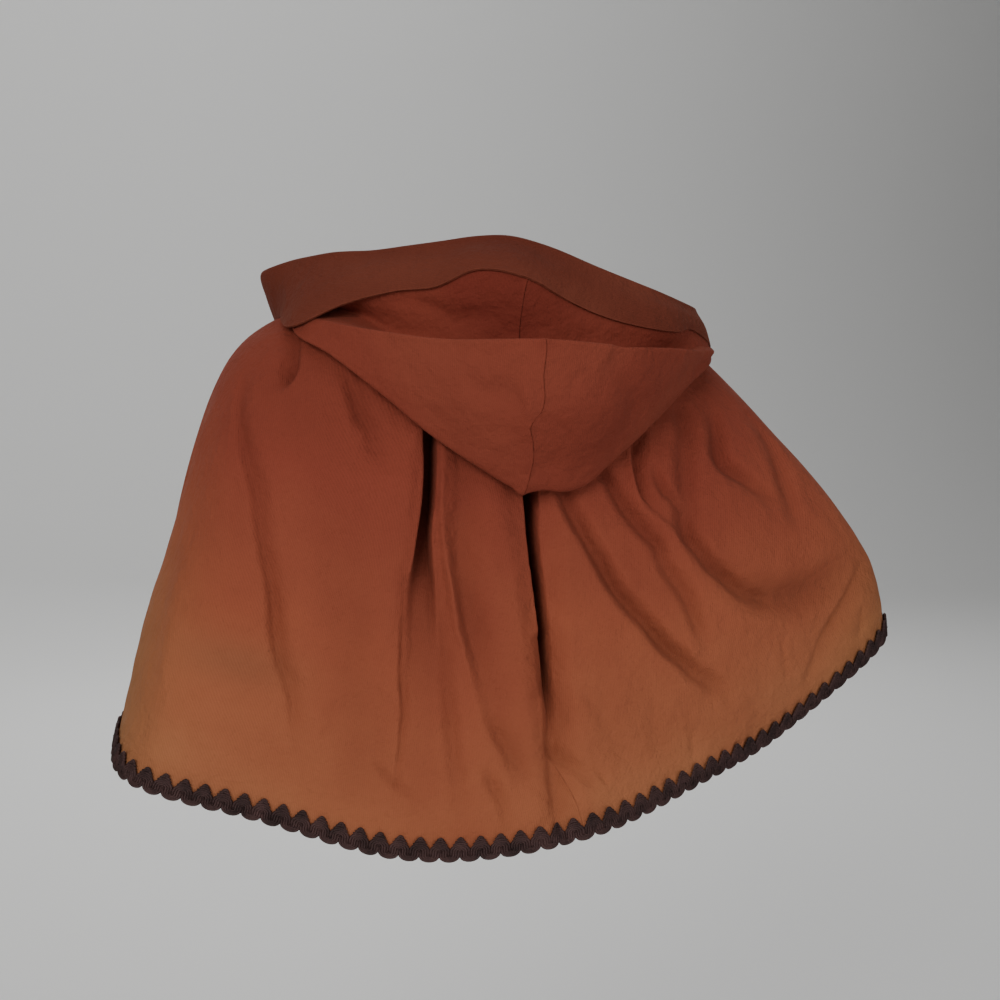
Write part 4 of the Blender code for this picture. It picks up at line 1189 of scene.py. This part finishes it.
# repeats laid in a row, then wrapped onto the hem
def braidTree(material):
    tree = bpy.data.node_groups.new("braidAlongHem", "GeometryNodeTree")
    tree.interface.new_socket("Geometry", in_out="INPUT", socket_type="NodeSocketGeometry")
    kinds = {"Guide": "Object", "Repeat": "Object", "Count": "Int", "Pitch": "Float", "Lift": "Float",
             "Drop": "Float"}
    sockets = {}
    for label, kind in kinds.items():
        made = tree.interface.new_socket(label, in_out="INPUT", socket_type="NodeSocket" + kind)
        sockets[label] = made.identifier
    tree.interface.new_socket("Geometry", in_out="OUTPUT", socket_type="NodeSocketGeometry")
    start = tree.nodes.new("NodeGroupInput")
    guide = addNode(tree, "GeometryNodeObjectInfo", {"Object": start.outputs["Guide"]})
    repeat = addNode(tree, "GeometryNodeObjectInfo", {"Object": start.outputs["Repeat"]})
    step = addNode(tree, "ShaderNodeCombineXYZ", {"X": start.outputs["Pitch"]})
    row = addNode(tree, "GeometryNodeMeshLine", {"Count": start.outputs["Count"], "Offset": step.outputs[0]})
    placed = addNode(tree, "GeometryNodeInstanceOnPoints", {
        "Points": row.outputs[0], "Instance": repeat.outputs["Geometry"]})
    real = addNode(tree, "GeometryNodeRealizeInstances", {0: placed.outputs[0]})
    path = addNode(tree, "GeometryNodeMeshToCurve", {0: guide.outputs["Geometry"]})
    here = addNode(tree, "GeometryNodeInputPosition").outputs[0]
    parts = addNode(tree, "ShaderNodeSeparateXYZ", {0: here})
    ways = []
    for label in ("downward", "outward"):
        value = addNode(tree, "GeometryNodeInputNamedAttribute", {"Name": label}, data_type="FLOAT_VECTOR")
        reach = {"Curves": path.outputs[0], "Length": parts.outputs[0]}
        sample = addNode(tree, "GeometryNodeSampleCurve", reach, mode="LENGTH",
                         data_type="FLOAT_VECTOR", use_all_curves=False)
        tree.links.new(usedSocket(value.outputs, "Attribute"), usedSocket(sample.inputs, "Value"))
        ways.append(usedSocket(sample.outputs, "Value"))
    drop = mathNode(tree, "SUBTRACT", start.outputs["Drop"], parts.outputs[1])
    lift = mathNode(tree, "ADD", start.outputs["Lift"], parts.outputs[2])
    downPart = vectorNode(tree, "SCALE", {0: ways[0], "Scale": drop})
    outPart = vectorNode(tree, "SCALE", {0: ways[1], "Scale": lift})
    both = vectorNode(tree, "ADD", {0: downPart, 1: outPart})
    total = vectorNode(tree, "ADD", {0: sample.outputs["Position"], 1: both})
    moved = addNode(tree, "GeometryNodeSetPosition", {"Geometry": real.outputs[0], "Position": total})
    painted = addNode(tree, "GeometryNodeSetMaterial", {"Geometry": moved.outputs[0], "Material": material})
    end = tree.nodes.new("NodeGroupOutput")
    tree.links.new(painted.outputs[0], end.inputs[0])
    return tree, sockets


# the mesh that an object comes to, with the object taken away
def settledMesh(holder, name):
    bpy.context.view_layer.update()
    graph = bpy.context.evaluated_depsgraph_get()
    data = bpy.data.meshes.new_from_object(
        holder.evaluated_get(graph), preserve_all_data_layers=True, depsgraph=graph)
    bpy.data.objects.remove(holder, do_unlink=True)
    data.name = name
    return data


# a plain mesh object from a node tree and its inputs
def fromNodes(name, tree, values):
    holder = addObject(name + "_nodes", bpy.data.meshes.new(name + "_empty"))
    modifier = holder.modifiers.new("Nodes", "NODES")
    modifier.node_group = tree
    for identifier, value in values.items():
        modifier[identifier] = value
    return addObject(name, settledMesh(holder, name))


tree, sockets = braidTree(braidMaterial(cordLook))
repeatShape = braidRepeat()
for side, name in ((1, "left"), (-1, "right")):
    guide, length = hemGuide(side)
    count = round(length / braid["pitch"])
    values = {"Guide": guide, "Repeat": repeatShape, "Count": count, "Pitch": length / count,
              "Lift": braid["lift"] + braid["cordRadius"], "Drop": braid["drop"]}
    piece = fromNodes("gimp_braid_" + name, tree, {sockets[label]: value for label, value in values.items()})
    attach(piece, "root")
    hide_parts("hem_braid_" + name)
    print("braid", name, "repeats", count, "faces", len(piece.data.polygons))


fastening = {
    "radius": 0.00055,      # of the wire
    "sides": 10,
    "along": 0.045,         # how far down the front edge it sits
    "lift": 0.0015,
    "tail": 0.0150,         # from the middle to the sewn ends
    "eyeMiddle": 0.0038,
    "eyeBend": 0.0030,
    "hookMiddle": 0.0016,
    "hookBend": 0.0014,
    "hookEnd": 0.0015,
    "wearScale": 700.0,
    "roughness": 0.35,
}
metalStops = ((0.0, (44, 40, 38)), (1.0, (96, 90, 86)))


def wire(name, points, material):
    data = bpy.data.curves.new(name, "CURVE")
    data.dimensions = "3D"
    data.bevel_depth = fastening["radius"]
    data.bevel_resolution = fastening["sides"] // 4
    data.use_fill_caps = True
    spline = data.splines.new("POLY")
    spline.points.add(len(points) - 1)
    for place, point in zip(spline.points, points):
        place.co = (*point, 1.0)
    mesh = settledMesh(addObject(name + "_path", data), name)
    mesh.materials.clear()
    mesh.materials.append(material)
    mesh.polygons.foreach_set("use_smooth", [True] * len(mesh.polygons))
    return addObject(name, mesh)


def arcPoints(middle, radius, first, last, count):
    turns = np.radians(np.linspace(first, last, count))
    return [(middle + radius * math.cos(t), radius * math.sin(t)) for t in turns]


def metalMaterial():
    material, tree, shader = newMaterial("fastening_metal")
    where = addNode(tree, "ShaderNodeTexCoord").outputs["Object"]
    colour = colourRamp(tree, noise(tree, where, fastening["wearScale"], 3.0), metalStops)
    feed(tree, shader, {"Base Color": colour, "Metallic": 1.0, "Roughness": fastening["roughness"]})
    return material


metal = metalMaterial()
front, along = np.array([180.0]), np.array([fastening["along"]])
down = unit((capeBase(front, along + 0.02) - capeBase(front, along - 0.02))[0] * [0, 1, 1])
inward = np.cross(down, [1.0, 0.0, 0.0])
inward *= -math.copysign(1, np.dot(inward, [0, -1, 0]))
centre = capeSurface(front, along)[0] * [0, 1, 1]
centre = centre + inward * (cape["thickness"] + fastening["lift"] + fastening["radius"])


def fasteningPoint(x, low, deep):
    return centre + np.array([x, 0, 0]) + down * low + inward * deep


tail, bend, crook = fastening["tail"], fastening["eyeBend"], fastening["hookBend"]
eyePath = [(tail, -bend)] + arcPoints(fastening["eyeMiddle"], bend, -90, -270, 17) + [(tail, bend)]
hookPath = arcPoints(fastening["hookMiddle"], crook, 90, -90, 13)
hookPath = [(-tail, crook)] + hookPath + [(-fastening["hookEnd"], -crook)]
frontEye = wire("eye_wire", [fasteningPoint(x, low, 0) for x, low in eyePath], metal)
frontHook = wire("hook_wire", [fasteningPoint(x, 0, deep) for x, deep in hookPath], metal)
for piece, node in ((frontEye, "front_eye"), (frontHook, "front_hook")):
    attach(piece, "root")
    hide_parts(node)
print("hook and eye made")
# focal length, and how far above and left of the picture's middle the neck seam lies, are in
# pixels of a picture this wide
view = {
    "turn": 18,
    "distance": 1.5,
    "picture": 1000,
    "focal": 1605,
    "above": 250,
    "left": 30,
    "sensor": 36,
}


def placeCamera():
    turn = math.radians(view["turn"])
    pitch, yaw = (math.atan(view[name] / view["focal"]) for name in ("above", "left"))
    ahead = Vector((-math.sin(turn), -math.cos(turn), 0))
    right = Vector((-math.cos(turn), math.sin(turn), 0))
    ahead, right = (ahead * math.cos(yaw) + right * math.sin(yaw),
                    right * math.cos(yaw) - ahead * math.sin(yaw))
    up = Vector((0, 0, 1))
    down = ahead * math.cos(pitch) - up * math.sin(pitch)
    up = up * math.cos(pitch) + ahead * math.sin(pitch)
    camera = addObject("camera", bpy.data.cameras.new("camera"))
    camera.data.sensor_width = view["sensor"]
    camera.data.lens = view["sensor"] * view["focal"] / view["picture"]
    camera.matrix_world = Matrix(((right.x, up.x, -down.x, view["distance"] * math.sin(turn)),
                                  (right.y, up.y, -down.y, view["distance"] * math.cos(turn)),
                                  (right.z, up.z, -down.z, 0), (0, 0, 0, 1)))
    bpy.context.scene.camera = camera


def areaLight(name, place, target, size, power, colour):
    data = bpy.data.lights.new(name, "AREA")
    data.shape = "SQUARE"
    data.size = size
    data.energy = power
    data.color = colour
    light = addObject(name, data)
    light.location = place
    light.rotation_euler = (Vector(target) - Vector(place)).to_track_quat("-Z", "Y").to_euler()


placeCamera()
middle, wall = (0, 0.05, -0.25), (0, -4.6, 0.6)
white = (1.0, 1.0, 1.0)
# name, place, what it faces, size, power, colour
lights = (
    ("windowLight", (2.1, 2.3, 1.4), middle, 1.8, 55, (1.0, 0.99, 0.97)),
    ("facingLight", (-0.3, 3.0, 0.1), middle, 2.2, 17, white),
    ("roomLight", (-2.4, 2.2, 0.8), middle, 2.6, 21, (0.97, 0.98, 1.0)),
    ("ceilingLight", (0, 0.9, 2.7), middle, 2.6, 17, white),
    ("sideLight", (3.0, 0.5, 0.5), middle, 1.8, 7, white),
    ("wallLight", (0, -1.8, 3.2), wall, 2.6, 85, white),
    ("frontLight", (-0.6, -2.6, 1.0), middle, 2.6, 26, white),
)
for light in lights:
    areaLight(*light)


room = {
    "floor": -1.15,
    "ahead": 6.0,
    "wall": 5.0,
    "bend": 2.0,
    "height": 6.0,
    "side": 9.0,
    "colour": (0.86, 0.86, 0.85, 1),
    "roughness": 0.9,
}


# a pale floor that curves up into a plain wall
def sweptFloor():
    foot, bend = room["wall"] - room["bend"], room["bend"]
    profile = [(room["ahead"], 0.0)]
    for turn in np.radians(np.linspace(0, 90, 25)):
        profile.append((-foot - bend * math.sin(turn), bend - bend * math.cos(turn)))
    profile.append((-room["wall"], room["height"]))
    verts = [(x, y, room["floor"] + z) for y, z in profile for x in (-room["side"], room["side"])]
    faces = [(2 * i + 2, 2 * i + 3, 2 * i + 1, 2 * i) for i in range(len(profile) - 1)]
    return addObject("floor", smoothMesh("floor", verts, faces))


floor = sweptFloor()
paint, tree, shader = newMaterial("floorPaint")
feed(tree, shader, {"Base Color": room["colour"], "Roughness": room["roughness"]})
floor.data.materials.append(paint)
print("camera and light placed")
